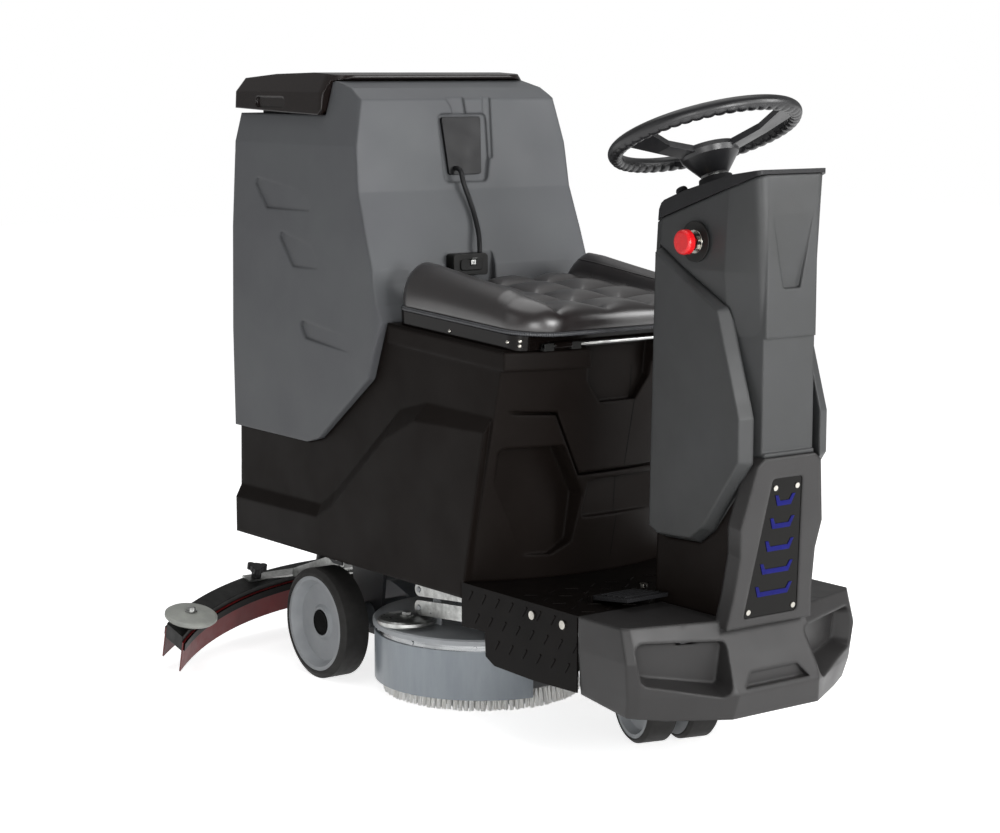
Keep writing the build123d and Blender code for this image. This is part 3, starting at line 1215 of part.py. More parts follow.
# half width of the tank at each flute, and the flute's outline
FLUTES = ((267.0, ((-262, 1029), (-203, 964), (-12, 965), (-64, 1007))),
          (270.5, ((-164, 924), (-95, 848), (16, 849), (-28, 897))),
          (272.8, ((-78, 743), (-48, 704), (120, 689), (135, 717))))
FACE_LEAN = atan2(25, 182)     # the upper front face falls back going up
TANK_FACE = Plane(origin=(0, fwd(145), 1010), x_dir=(1, 0, 0), z_dir=(0, -cos(FACE_LEAN), sin(FACE_LEAN)))
PLATE_DEPTH = 8.0
PLATE_THICKNESS = 7.0
ARCH_FLOOR = 190.0
HINGE_BEHIND, HINGE_Z = 354.0, 487.0
HINGE_PIN_R = 4.0
KNUCKLE_R = 8.0
with BuildPart() as recovery_tank:
    with BuildSketch(Plane.YZ.offset(-HALF)):
        with BuildLine():
            closed_outline(side_points(tank_side))
        make_face()
    extrude(amount=BODY_WIDTH)
    add(tank_block(0), mode=Mode.INTERSECT)
    with BuildSketch(Plane.XY.offset(LID_SEAT_Z - 1)):
        with Locations((0, fwd((NECK_FRONT + NECK_REAR) / 2))):
            RectangleRounded(2 * NECK_HALF, NECK_FRONT - NECK_REAR, 30)
    extrude(amount=NECK_TOP - LID_SEAT_Z + 1)
    add(tank_cavity.part, mode=Mode.SUBTRACT)
    with BuildSketch(Plane.XY.offset(LID_SEAT_Z - 30)):
        with Locations((0, fwd((NECK_FRONT + NECK_REAR) / 2))):
            RectangleRounded(2 * NECK_HALF - 12, NECK_FRONT - NECK_REAR - 12, 24)
    extrude(amount=80, mode=Mode.SUBTRACT)
    # sunk flutes on both sides: hooked outlines, deepest at the rear and running out to the front
    for side in (-1, 1):
        for flute_half, hook in FLUTES:
            rear_end, front_end = hook[0][0], max(ahead for ahead, height in hook)
            lean = atan2(FLUTE_DEPTH + 0.5, front_end - rear_end)
            flute_floor = Plane(origin=(side * (flute_half - FLUTE_DEPTH), fwd(rear_end), 0),
                                x_dir=(side * sin(lean), -cos(lean), 0), z_dir=(-cos(lean), -side * sin(lean), 0))
            with BuildSketch(flute_floor) as flute:
                with BuildLine():
                    closed_outline([((ahead - rear_end) / cos(lean), height) for ahead, height in hook])
                make_face()
                fillet(flute.vertices(), 10)
            extrude(amount=-side * 20, mode=Mode.SUBTRACT)
    # pocket for the plate, the groove that runs up from it, and the channel on its left
    for depth, outline, corner in ((PLATE_DEPTH, [(-54, 14), (54, 14), (64, 60), (66, 154), (-58, 154)], 12),
                                   (5, [(-18, 140), (15, 140), (10, 190), (-40, 190), (-24, 170)], 5),
                                   (4, [(50, 60), (72, 60), (78, 190), (58, 190)], 6)):
        with BuildSketch(TANK_FACE.offset(-depth)) as face_pocket:
            with BuildLine():
                closed_outline(outline)
            make_face()
            fillet(face_pocket.vertices(), corner)
        extrude(amount=60, mode=Mode.SUBTRACT)
    # arch round the connector
    with BuildSketch(Plane.XZ.offset(-fwd(ARCH_FLOOR))) as arch:
        with BuildLine():
            closed_outline([(-92, 790), (30, 790), (30, 880), (6, 912), (-66, 912), (-92, 880)])
        make_face()
        fillet(arch.vertices().group_by(Axis.Y)[1:], 14)
    extrude(amount=60, mode=Mode.SUBTRACT)
    # knuckles that turn on the rear hinge
    for across in (-73, 75):
        with BuildSketch(Plane.YZ.offset(across - 22)):
            with Locations((fwd(-HINGE_BEHIND), HINGE_Z)):
                Circle(KNUCKLE_R)
            with BuildLine():
                closed_outline([(fwd(-HINGE_BEHIND) - 5, HINGE_Z + 5), (fwd(-HINGE_BEHIND) + 8, HINGE_Z),
                                (fwd(-HINGE_BEHIND) + 2, 524), (fwd(-HINGE_BEHIND) - 10, 524),
                                (fwd(-HINGE_BEHIND) - 10, 493)])
            make_face()
            with Locations((fwd(-HINGE_BEHIND), HINGE_Z)):
                Circle(HINGE_PIN_R + RUNNING_GAP, mode=Mode.SUBTRACT)
        extrude(amount=44)

with BuildPart() as tank_plate:
    with BuildSketch(TANK_FACE.offset(-PLATE_DEPTH)) as plate_face:
        with BuildLine():
            closed_outline([(-40, 30), (40, 30), (49, 147), (-49, 147)])
        make_face()
        fillet(plate_face.vertices(), 6)
    extrude(amount=PLATE_THICKNESS)

with BuildPart() as lid_cavity:
    for height, half, front, rear in ((LID_SEAT_Z - 20, 252, 20, -332), (1222, 244, 16, -328)):
        add(tank_plan(height, half, front, rear, 40, 6))
    loft(ruled=True)

with BuildPart() as tank_lid:
    with BuildSketch(Plane.YZ.offset(-HALF)):
        with BuildLine():
            closed_outline(side_points([(-341, 1171), (-140, 1164), (-8, LID_SEAT_Z + 0.3), (3, 1170), (9, 1228),
                                        (30, 1232), (35, 1240), (-60, 1245), (-200, 1242), (-322, 1233),
                                        (-341, 1220)]))
        make_face()
    extrude(amount=BODY_WIDTH)
    for height, half, front, rear in ((LID_SEAT_Z - 5, 262, 38, -342), (1205, 260, 38, -341), (1246, 236, 30, -322)):
        add(tank_plan(height, half, front, rear, 44, REAR_CORNER))
    loft(ruled=True, mode=Mode.INTERSECT)
    add(lid_cavity.part, mode=Mode.SUBTRACT)
    # finger recess low on each side
    for side in (-1, 1):
        with BuildSketch(Plane.YZ.offset(side * 255.5)):
            with Locations((fwd(-194), 1184)):
                RectangleRounded(112, 22, 8)
        extrude(amount=side * 20, mode=Mode.SUBTRACT)

with BuildPart() as tank_hinge:
    with BuildSketch(Plane.XZ.offset(-fwd(BODY_REAR))):
        with Locations((0, HINGE_Z - 32)):
            Rectangle(260, 40)
    extrude(amount=-4)
    for across in (-110, -36, 38, 112):
        with BuildSketch(Plane.YZ.offset(across - 12)):
            with Locations((fwd(-HINGE_BEHIND), HINGE_Z)):
                Circle(HINGE_PIN_R + 4)
            with Locations((fwd(-HINGE_BEHIND) - 5, HINGE_Z - 10)):
                Rectangle(9, 20)
        extrude(amount=24)
    with BuildSketch(Plane.YZ.offset(-122)):
        with Locations((fwd(-HINGE_BEHIND), HINGE_Z)):
            Circle(HINGE_PIN_R)
    extrude(amount=246)

# connector in the arch below the plate, and the short cable up to the plate
CONNECTOR_AHEAD = 206.3
CONNECTOR_TOP = 884.0
with BuildPart() as tank_connector:
    with BuildSketch(Plane.XZ.offset(-fwd(ARCH_FLOOR))) as connector_face:
        with BuildLine():
            closed_outline([(-85, 842), (0, 840), (0, 878), (-6, CONNECTOR_TOP), (-85, CONNECTOR_TOP)])
        make_face()
        fillet(connector_face.vertices(), 6)
    extrude(amount=CONNECTOR_AHEAD + 10 - ARCH_FLOOR)
    with BuildSketch(Plane.XZ.offset(-fwd(CONNECTOR_AHEAD + 10))):
        with Locations((-42, 862)):
            RectangleRounded(54, 22, 6)
    extrude(amount=3)

CABLE_R = 5.0
cable_start = [tuple(TANK_FACE.from_local_coords((-25, 42.4, out))) for out in (PLATE_THICKNESS - PLATE_DEPTH, 18)]
cable_points = cable_start + [(-18, fwd(156), 1024), (-8, fwd(164), 990),
                (-2, fwd(175), 955), (-5, fwd(192), 922), (-13, fwd(206), 900), (-13, fwd(206), CONNECTOR_TOP)]
cable_runs = [Vector(*end) - Vector(*start) for start, end in zip(cable_points, cable_points[1:])]
cable_radii = []
for run, following in zip(cable_runs, cable_runs[1:]):
    half_turn = radians(run.get_angle(following)) / 2
    cable_radii.append(0.45 * min(run.length, following.length) / tan(half_turn))
print("cable radii", [round(radius) for radius in cable_radii])
with BuildPart() as tank_cable:
    with BuildLine() as cable_line:
        FilletPolyline(*cable_points, radius=cable_radii)
    with BuildSketch(Plane(origin=cable_points[0], z_dir=cable_runs[0])):
        Circle(CABLE_R)
    sweep()
cable_length = sum(edge.length for edge in cable_line.edges())
print("cable volume", round(tank_cable.part.volume), "section by length", round(pi * CABLE_R ** 2 * cable_length))

# ================================================================ seat
PAN_HEIGHT = 29.0
PAN_START = 14.0               # pan stops this far behind the hinge
SEAT_REAR = 240.0
SEAT_PIVOT_Z = 746.0
slope = radians(SEAT_SLOPE)
# seat frame: x across, y to the rear along the slope, z square to it, origin above the front hinge
SEAT = Plane(origin=(0, fwd(SEAT_HINGE_AHEAD), seat_base(SEAT_HINGE_AHEAD)), x_dir=(1, 0, 0),
             z_dir=(0, -sin(slope), cos(slope)))
SEAT_LENGTH = (SEAT_HINGE_AHEAD - SEAT_REAR) / cos(slope)

with BuildPart() as seat_pan:
    with BuildSketch(SEAT.offset(0.4)):
        with Locations((0, (SEAT_LENGTH + PAN_START) / 2)):
            RectangleRounded(SEAT_WIDTH - 14, SEAT_LENGTH - PAN_START, 30)
    extrude(amount=PAN_HEIGHT - 0.4, taper=-3)
    with BuildSketch(SEAT.offset(-1)):
        with Locations((0, (SEAT_LENGTH + PAN_START) / 2)):
            RectangleRounded(SEAT_WIDTH - 34, SEAT_LENGTH - PAN_START - 20, 22)
    extrude(amount=PAN_HEIGHT - 3, mode=Mode.SUBTRACT)
    # knuckles at the front edge
    for across in (-150, 150):
        with BuildSketch(Plane.YZ.offset(across - 20)):
            with Locations((fwd(SEAT_HINGE_AHEAD), SEAT_PIVOT_Z)):
                Circle(7)
            with Locations((fwd(SEAT_HINGE_AHEAD) + 10, SEAT_PIVOT_Z + 2)):
                Rectangle(20, 10)
            with Locations((fwd(SEAT_HINGE_AHEAD), SEAT_PIVOT_Z)):
                Circle(3 + RUNNING_GAP, mode=Mode.SUBTRACT)
        extrude(amount=40)

with BuildPart() as seat_hinge:
    with BuildSketch(Plane.YZ.offset(-190)):
        with Locations((fwd(SEAT_HINGE_AHEAD), SEAT_PIVOT_Z)):
            Circle(3)
    extrude(amount=380)
    for across in (-182, -118, 118, 182):
        with BuildSketch(Plane.YZ.offset(across - 11)):
            with BuildLine():
                closed_outline([(fwd(SEAT_HINGE_AHEAD) - 4, seat_base(SEAT_HINGE_AHEAD) + 0.3),
                                (fwd(SEAT_HINGE_AHEAD) + 9, seat_base(SEAT_HINGE_AHEAD - 9) + 0.3),
                                (fwd(SEAT_HINGE_AHEAD) + 4, SEAT_PIVOT_Z + 5),
                                (fwd(SEAT_HINGE_AHEAD) - 4, SEAT_PIVOT_Z + 5)])
            make_face()
        extrude(amount=22)


def seat_section(along, crown, bolster, half, low):
    """Cross section of the cushion: two bolsters either side of a lower middle."""
    with BuildSketch(Plane(origin=SEAT.from_local_coords((0, along, 0)), x_dir=(1, 0, 0), z_dir=-SEAT.y_dir)) as section:
        with BuildLine():
            Line((-half, low), (half, low))
            Line((half, low), (half + 4, low + (bolster - low) * 0.45))
            ThreePointArc((half + 4, low + (bolster - low) * 0.45), (half - 42, bolster), (half - 96, crown))
            ThreePointArc((half - 96, crown), (0, crown - 8), (96 - half, crown))
            ThreePointArc((96 - half, crown), (42 - half, bolster), (-half - 4, low + (bolster - low) * 0.45))
            Line((-half - 4, low + (bolster - low) * 0.45), (-half, low))
        make_face()
    return section.sketch


CUSHION_LOW = PAN_HEIGHT + 0.3
with BuildPart() as seat_cushion:
    stations = ((-26, 44, 52, 236), (-12, 66, 84, 244), (30, 80, 98, 246), (160, 72, 104, 247), (300, 74, 112, 247),
                (380, 84, 116, 246), (404, 66, 94, 240))
    for near, far in zip(stations, stations[1:]):
        for along, crown, bolster, half in (near, far):
            add(seat_section(along, crown, bolster, half, CUSHION_LOW))
        loft(ruled=True)
    # sewn channels across the middle
    for channel in range(1, 7):
        with BuildSketch(Plane(origin=SEAT.from_local_coords((-140, 20 + channel * 52, 0)), x_dir=SEAT.y_dir,
                               z_dir=(1, 0, 0))):
            with Locations((0, 84 - 6)):
                Rectangle(3, 16)
        extrude(amount=280, mode=Mode.SUBTRACT)

# ================================================================ inside the body
with BuildPart() as batteries:
    for side in (-1, 1):
        with BuildSketch(Plane.XY.offset(PLATFORM_TOP)):
            with Locations((side * (BATTERY_WIDTH / 2 + 2), fwd(BATTERY_AHEAD))):
                Rectangle(BATTERY_WIDTH, BATTERY_LENGTH)
        extrude(amount=BATTERY_HEIGHT - 18)
        with BuildSketch(Plane.XY.offset(PLATFORM_TOP + BATTERY_HEIGHT - 18)):
            with Locations((side * (BATTERY_WIDTH / 2 + 2), fwd(BATTERY_AHEAD))):
                Rectangle(BATTERY_WIDTH - 8, BATTERY_LENGTH - 8)
        extrude(amount=6)
        with BuildSketch(Plane.XY.offset(PLATFORM_TOP + BATTERY_HEIGHT - 12)):
            for along in (-130, 130):
                with Locations((side * (BATTERY_WIDTH / 2 + 2), fwd(BATTERY_AHEAD + along))):
                    Circle(9)
        extrude(amount=12)

with BuildPart() as vacuum_motor:
    with BuildSketch(Plane.XY.offset(RAIL_TOP)):
        with Locations((0, fwd(-200))):
            Rectangle(2 * RAIL_X + RAIL_WIDTH, 170)
    extrude(amount=4)
    vacuum_plane = Plane(origin=(0, fwd(-200), RAIL_TOP + 4))
    with BuildSketch(radial(vacuum_plane)):
        with BuildLine():
            closed_outline([(0, 0), (72, 0), (72, 50), (60, 56), (60, 118), (48, 126), (0, 126)])
        make_face()
    revolve(axis=spin_axis(vacuum_plane))

# ================================================================ key and switch
with BuildPart() as key_barrel:
    with BuildSketch(Plane.YZ.offset(KEY_SEAT)):
        with Locations((fwd(KEY_AHEAD), KEY_Z)):
            Circle(KEY_BARREL_R)
    extrude(amount=CONSOLE_SIDE + 5 - KEY_SEAT)
with BuildPart() as ignition_key:
    with BuildSketch(Plane.YZ.offset(CONSOLE_SIDE + 5.2)):
        with Locations((fwd(KEY_AHEAD), KEY_Z)):
            Circle(7)
    extrude(amount=6)
    with BuildSketch(Plane.YZ.offset(CONSOLE_SIDE + 11.2)):
        with Locations((fwd(KEY_AHEAD), KEY_Z)):
            RectangleRounded(5, 26, 2)
    extrude(amount=16)

# ================================================================ write the pieces
pieces = {
    "chassis_frame": chassis_frame.part,
    "rear_transaxle": rear_transaxle.part,
    "rear_tyre_left": rear_tyres[0],
    "rear_tyre_right": rear_tyres[1],
    "rear_rim_left": rear_rims[0],
    "rear_rim_right": rear_rims[1],
    "front_tyre_left": front_tyres[0],
    "front_tyre_right": front_tyres[1],
    "front_rim_left": front_rims[0],
    "front_rim_right": front_rims[1],
    "steering_fork": steering_fork.part,
    "steering_bearing": steering_bearing.part,
    "steering_chain": steering_chain.part,
    "main_body": main_body.part,
    "platform_plate": platform_plate.part,
    "platform_bolts": visible_bolts.part,
    "front_bumper": front_bumper.part,
    "front_panel": front_panel.part,
    "panel_chevrons": panel_chevrons.part,
    "panel_screws": panel_screws.part,
    "lower_column": lower_column.part,
    "console_shell": console_shell.part,
    "column_covers": column_covers.part,
    "console_cap": console_cap.part,
    "steering_wheel": steering_wheel.part,
    "horn_button": horn_button.part,
    "steering_shaft": steering_shaft.part,
    "lower_shaft": lower_shaft.part,
    "console_fittings": console_fittings.part + key_barrel.part,
    "estop_button": estop_button.part,
    "ignition_key": ignition_key.part,
    "accelerator_pedal": accelerator_pedal.part,
    "deck_housing": deck_housing.part,
    "deck_band": deck_band.part,
    "deck_skirt": deck_skirt.part,
    "scrub_brush": scrub_brush.part,
    "brush_motor": brush_motor.part,
    "guide_roller": guide_roller.part,
    "lift_link_upper": lift_link(LINK_Z[0], 27.0),
    "lift_link_lower": lift_link(LINK_Z[1], 30.0),
    "squeegee_hanger": squeegee_hanger.part,
    "squeegee_plate": squeegee_plate.part,
    "squeegee_body": squeegee_body.part,
    "squeegee_blades": squeegee_blades.part,
    "blade_straps": blade_strap.part,
    "squeegee_knob_left": hand_knob(1),
    "squeegee_knob_right": hand_knob(-1),
    "end_roller_left": end_roller(1),
    "end_roller_right": end_roller(-1),
    "recovery_tank": recovery_tank.part,
    "tank_lid": tank_lid.part,
    "tank_hinge": tank_hinge.part,
    "tank_plate": tank_plate.part,
    "tank_connector": tank_connector.part,
    "tank_cable": tank_cable.part,
    "seat_pan": seat_pan.part,
    "seat_hinge": seat_hinge.part,
    "seat_cushion": seat_cushion.part,
    "batteries": batteries.part,
    "vacuum_motor": vacuum_motor.part,
}
os.makedirs("parts", exist_ok=True)
for name, piece in pieces.items():
    piece.label = name
    export_step(piece, f"parts/{name}.step")
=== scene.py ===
"""Looks of a ride-on floor scrubber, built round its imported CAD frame.

Lengths are metres in the frame's own axes: +X to the driver's left, +Y to the rear, +Z up.
"""

import logging
import math
import random
from dataclasses import dataclass, field
from enum import Enum
from typing import Any, Optional, Sequence

import bpy
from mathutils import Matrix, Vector


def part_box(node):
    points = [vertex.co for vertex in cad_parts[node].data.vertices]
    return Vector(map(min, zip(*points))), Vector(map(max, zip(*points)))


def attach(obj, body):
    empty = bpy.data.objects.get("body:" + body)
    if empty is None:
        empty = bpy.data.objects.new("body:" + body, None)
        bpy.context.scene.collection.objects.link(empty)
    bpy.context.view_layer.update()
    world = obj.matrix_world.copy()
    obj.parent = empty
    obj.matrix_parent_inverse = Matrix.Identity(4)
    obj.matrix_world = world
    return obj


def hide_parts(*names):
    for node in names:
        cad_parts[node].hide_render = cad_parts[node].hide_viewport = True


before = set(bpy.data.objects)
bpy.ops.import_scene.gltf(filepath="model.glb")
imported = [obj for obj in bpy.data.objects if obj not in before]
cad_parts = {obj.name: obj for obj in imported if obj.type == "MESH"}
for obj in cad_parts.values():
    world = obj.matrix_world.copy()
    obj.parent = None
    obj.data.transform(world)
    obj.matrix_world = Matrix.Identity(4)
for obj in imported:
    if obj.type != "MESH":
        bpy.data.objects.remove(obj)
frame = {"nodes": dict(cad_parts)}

LOG = logging.getLogger("scrubber")
MM = 0.001
QUARTER = math.pi / 2
UP = Vector((0, 0, 1))
Point = tuple[float, float, float]
Pair = tuple[float, float]
Tree, Node, Socket = bpy.types.NodeTree, bpy.types.Node, bpy.types.NodeSocket
Material, Object = bpy.types.Material, bpy.types.Object


# ------------------------------------------------------------------ small helpers
def linear(hex_colour: str) -> tuple[float, float, float, float]:
    """Turns an sRGB hex colour to linear.

    Args:
        hex_colour: a # and six hex digits.

    Returns:
        Linear red, green, blue and an alpha of 1.
    """
    coded = [int(hex_colour[start : start + 2], 16) / 255 for start in (1, 3, 5)]
    red, green, blue = (v / 12.92 if v <= 0.04045 else ((v + 0.055) / 1.055) ** 2.4 for v in coded)
    return (red, green, blue, 1.0)


def limited(share: float) -> float:
    """Keeps a share between 0 and 1."""
    return min(1.0, max(0.0, share))


def add_node(
    tree: Tree, kind: str, settings: Optional[dict[Any, Any]] = None,
    links: Optional[dict[Any, Socket]] = None,
) -> Node:
    """Adds a shader node with its settings and links.

    Args:
        tree: the node tree to add to.
        kind: Blender's name of the node type.
        settings: attribute or input values by name, or by index for an input.
        links: sockets that feed its inputs, by input name or index.

    Returns:
        The new node.
    """
    made = tree.nodes.new(kind)
    for key, value in (settings or {}).items():
        if isinstance(key, str) and hasattr(made, key):
            setattr(made, key, value)
        else:
            made.inputs[key].default_value = value
    for key, source in (links or {}).items():
        tree.links.new(source, made.inputs[key])
    return made


def ramp(tree: Tree, value: Socket, out: Pair, given: Pair = (0.0, 1.0)) -> Socket:
    """Maps a value's given range to another."""
    limits = {"From Min": given[0], "From Max": given[1], "To Min": out[0], "To Max": out[1]}
    return add_node(tree, "ShaderNodeMapRange", limits, {"Value": value}).outputs["Result"]


def seen_by(tree: Tree, other_ray: str) -> Socket:
    """Tells camera rays and one other kind of ray from the rest.

    Args:
        tree: the node tree to add to.
        other_ray: the light path's output for the other kind.

    Returns:
        1 for those rays and 0 for the others.
    """
    path = add_node(tree, "ShaderNodeLightPath").outputs
    links = {0: path["Is Camera Ray"], 1: path[other_ray]}
    return add_node(tree, "ShaderNodeMath", {"operation": "MAXIMUM"}, links).outputs["Value"]


def add_object(name: str, data: bpy.types.ID) -> Object:
    """Puts new data in the scene as an object.

    Args:
        name: the object's name.
        data: its mesh, curve, lamp or camera.

    Returns:
        The new object.
    """
    made = bpy.data.objects.new(name, data)
    bpy.context.scene.collection.objects.link(made)
    return made


def on_surface(node: str, start: Point, toward: Point) -> Optional[tuple[Vector, Vector]]:
    """Finds where a straight line first meets a CAD node.

    Args:
        node: the node's name.
        start: where the line starts.
        toward: its direction.

    Returns:
        The point and the outward normal, or None where the line misses.
    """
    piece, way = frame["nodes"][node], Vector(toward).normalized()
    hit, place, normal, _ = piece.ray_cast(Vector(start), way)
    return (place, normal) if hit else None


@dataclass
class MeshDraft:
    """Points and faces of a piece that is put together from several forms."""

    points: list[Sequence[float]] = field(default_factory=list)
    faces: list[tuple[int, ...]] = field(default_factory=list)

    def band(self, here: int, there: int, sides: int) -> None:
        """Joins two closed rounds of corners, given by their first corner, with faces."""
        for side, after in enumerate([*range(1, sides), 0]):
            self.faces.append((here + side, here + after, there + after, there + side))

    def turned(
        self, profile: Sequence[Pair], base: Vector, axis: Vector, sides: int = 20, ring: bool = False
    ) -> None:
        """Adds a form turned round an axis.

        Args:
            profile: radius and height of each corner, from the foot up.
            base: where the axis starts.
            axis: its direction.
            sides: corners of each round.
            ring: whether the profile closes on itself, leaving a bore.
        """
        axis = axis.normalized()
        across = axis.orthogonal().normalized()
        beside = axis.cross(across)
        start, rounds = len(self.points), len(profile)
        for radius, height in profile:
            for side in range(sides):
                turn = math.tau * side / sides
                out = across * math.cos(turn) + beside * math.sin(turn)
                self.points.append(base + axis * height + out * radius)
        for level in range(rounds if ring else rounds - 1):
            self.band(start + level * sides, start + (level + 1) % rounds * sides, sides)
        if not ring:
            top = start + (rounds - 1) * sides
            self.faces.append(tuple(start + side for side in reversed(range(sides))))
            self.faces.append(tuple(top + side for side in range(sides)))

    def swept(self, centres: Sequence[Vector], radii: Sequence[float], closed: bool) -> None:
        """Adds an eight-sided tube.

        Args:
            centres: points along the tube.
            radii: its radius at each point.
            closed: whether it joins its own start.
        """
        start, count, sides = len(self.points), len(centres), 8
        for index, (centre, radius) in enumerate(zip(centres, radii)):
            before = centres[index - 1] if closed or index else centre
            after = centres[(index + 1) % count] if closed or index < count - 1 else centre
            along = (after - before).normalized()
            across = along.cross(UP).normalized()
            above = across.cross(along)
            for side in range(sides):
                turn = math.tau * side / sides
                out = across * math.cos(turn) + above * math.sin(turn)
                self.points.append(centre + out * radius)
        for index in range(count if closed else count - 1):
            self.band(start + index * sides, start + (index + 1) % count * sides, sides)

    def bar(self, line: Sequence[Vector], across: Vector, width: float, thick: float) -> None:
        """Adds a bent flat bar.

        Args:
            line: middle of its underside.
            across: direction of its width.
            width: of the bar.
            thick: its thickness.
        """
        start = len(self.points)
        for index, place in enumerate(line):
            before, after = line[max(0, index - 1)], line[min(len(line) - 1, index + 1)]
            rise = across.cross((after - before).normalized()).normalized()
            for side, level in ((-0.5, 0), (0.5, 0), (0.5, 1), (-0.5, 1)):
                self.points.append(place + across * (side * width) + rise * (level * thick))
        end = start + 4 * (len(line) - 1)
        for here in range(start, end, 4):
            self.band(here, here + 4, 4)
        self.faces.append((start + 3, start + 2, start + 1, start))
        self.faces.append((end, end + 1, end + 2, end + 3))

    def bolt(self, place: Vector, axis: Vector, across_flats: float) -> None:
        """Adds a hexagon bolt's head on its washer.

        Args:
            place: middle of the washer's foot.
            axis: direction of the bolt.
            across_flats: width of the head.
        """
        head = across_flats * 0.62
        washer = ((head * 1.35, -0.0006), (head * 1.4, 0.0006), (head * 1.3, 0.0018))
        hexagon = ((head, 0.0012), (head, 0.0072), (head * 0.86, 0.0086), (0.0006, 0.0088))
        self.turned(washer, place, axis, 28)
        self.turned(hexagon, place, axis, 6)

    def mesh(self, name: str, sharp_deg: float) -> bpy.types.Mesh:
        """Makes a mesh of what was added.

        Args:
            name: the mesh's name.
            sharp_deg: edges that turn by more than this stay sharp; 180 keeps none.

        Returns:
            The new mesh.
        """
        mesh = bpy.data.meshes.new(name)
        mesh.from_pydata([tuple(point) for point in self.points], [], self.faces)
        mesh.validate()
        mesh.shade_smooth()
        if sharp_deg < 180:
            mesh.set_sharp_from_angle(angle=math.radians(sharp_deg))
        return mesh


# ------------------------------------------------------------------ finishes
class Grain(Enum):
    """How a moulded or painted surface feels."""

    SATIN = "satin"
    LEATHERY = "leathery"
    ORANGE_PEEL = "orange peel"


@dataclass(frozen=True)
class Finish:
    """A surface finish: its name, the colours that it varies between, and its roughness."""

    label: str
    colour: str
    roughness: float
    second: str

    def build(self) -> Material:
        """Makes the material and lets the finish fill it in.

        Returns:
            The new material.
        """
        material = bpy.data.materials.new(self.label)
        material.use_nodes = True
        tree = material.node_tree
        shader = tree.nodes["Principled BSDF"]
        shader.inputs["Base Color"].default_value = linear(self.colour)
        shader.inputs["Roughness"].default_value = self.roughness
        self.fill(tree, shader)
        return material

    def fill(self, tree: Tree, shader: Node) -> None:
        """Adds the finish's own pattern; the plain finish has none.

        Args:
            tree: the material's tree.
            shader: its principled shader.
        """

    def place(self, tree: Tree) -> Socket:
        """Gives the object's own coordinates, which are metres in the frame's axes."""
        return add_node(tree, "ShaderNodeTexCoord").outputs["Object"]

    def noise(
        self, tree: Tree, size_mm: float, detail: float, stretch: Point = (1, 1, 1), **more: float
    ) -> Socket:
        """Gives a noise pattern of a real size.

        Args:
            tree: the material's tree.
            size_mm: the size of its patches.
            detail: how many finer layers it has.
            stretch: how the patches are squeezed along each axis.
            more: further inputs of the noise, by name.

        Returns:
            The pattern.
        """
        place = {"Vector": self.place(tree)}
        mapped = add_node(tree, "ShaderNodeMapping", {"Scale": stretch}, place).outputs["Vector"]
        settings = {"Scale": 1 / (size_mm * MM), "Detail": detail, **more}
        return add_node(tree, "ShaderNodeTexNoise", settings, {"Vector": mapped}).outputs["Fac"]

    def cells(self, tree: Tree, size_mm: float, feature: str) -> Socket:
        """Gives a pattern of cells of a real size.

        Args:
            tree: the material's tree.
            size_mm: the size of a cell.
            feature: what is measured in each cell.

        Returns:
            The pattern.
        """
        settings = {"feature": feature, "Scale": 1 / (size_mm * MM)}
        place = {"Vector": self.place(tree)}
        return add_node(tree, "ShaderNodeTexVoronoi", settings, place).outputs["Distance"]

    def mottle(self, tree: Tree, shader: Node, patch_mm: float, stretch: Point = (1, 1, 1)) -> None:
        """Varies the colour slowly between the finish's two.

        Args:
            tree: the material's tree.
            shader: its principled shader.
            patch_mm: the size of the patches.
            stretch: how the patches are squeezed along each axis.
        """
        noise = self.noise(tree, patch_mm, 4.0, stretch, Roughness=0.6)
        colours = {"data_type": "RGBA", 6: linear(self.colour), 7: linear(self.second)}
        share = {0: ramp(tree, noise, (0.0, 1.0), (0.35, 0.65))}
        blend = add_node(tree, "ShaderNodeMix", colours, share)
        tree.links.new(blend.outputs[2], shader.inputs["Base Color"])

    def vary_roughness(self, tree: Tree, shader: Node, patch_mm: float, spread: float) -> None:
        """Varies the roughness over patches of a size.

        Args:
            tree: the material's tree.
            shader: its principled shader.
            patch_mm: the size of the patches.
            spread: how far it strays either way.
        """
        span = (self.roughness - spread, self.roughness + spread)
        rough = ramp(tree, self.noise(tree, patch_mm, 5.0), span, (0.3, 0.7))
        tree.links.new(rough, shader.inputs["Roughness"])

    def relief(
        self, tree: Tree, shader: Node, height: Socket, depth_mm: float, strength: float,
        edge_mm: float = 0.0,
    ) -> None:
        """Raises the surface by a height pattern, over softened edges.

        Args:
            tree: the material's tree.
            shader: its principled shader.
            height: the pattern.
            depth_mm: how deep it is.
            strength: how much of it shows.
            edge_mm: radius of the softened edges.
        """
        links = {"Height": height}
        if edge_mm > 0:
            edge = add_node(tree, "ShaderNodeBevel", {"samples": 6, "Radius": edge_mm * MM})
            links["Normal"] = edge.outputs["Normal"]
        settings = {"Strength": strength, "Distance": depth_mm * MM}
        bump = add_node(tree, "ShaderNodeBump", settings, links)
        tree.links.new(bump.outputs["Normal"], shader.inputs["Normal"])


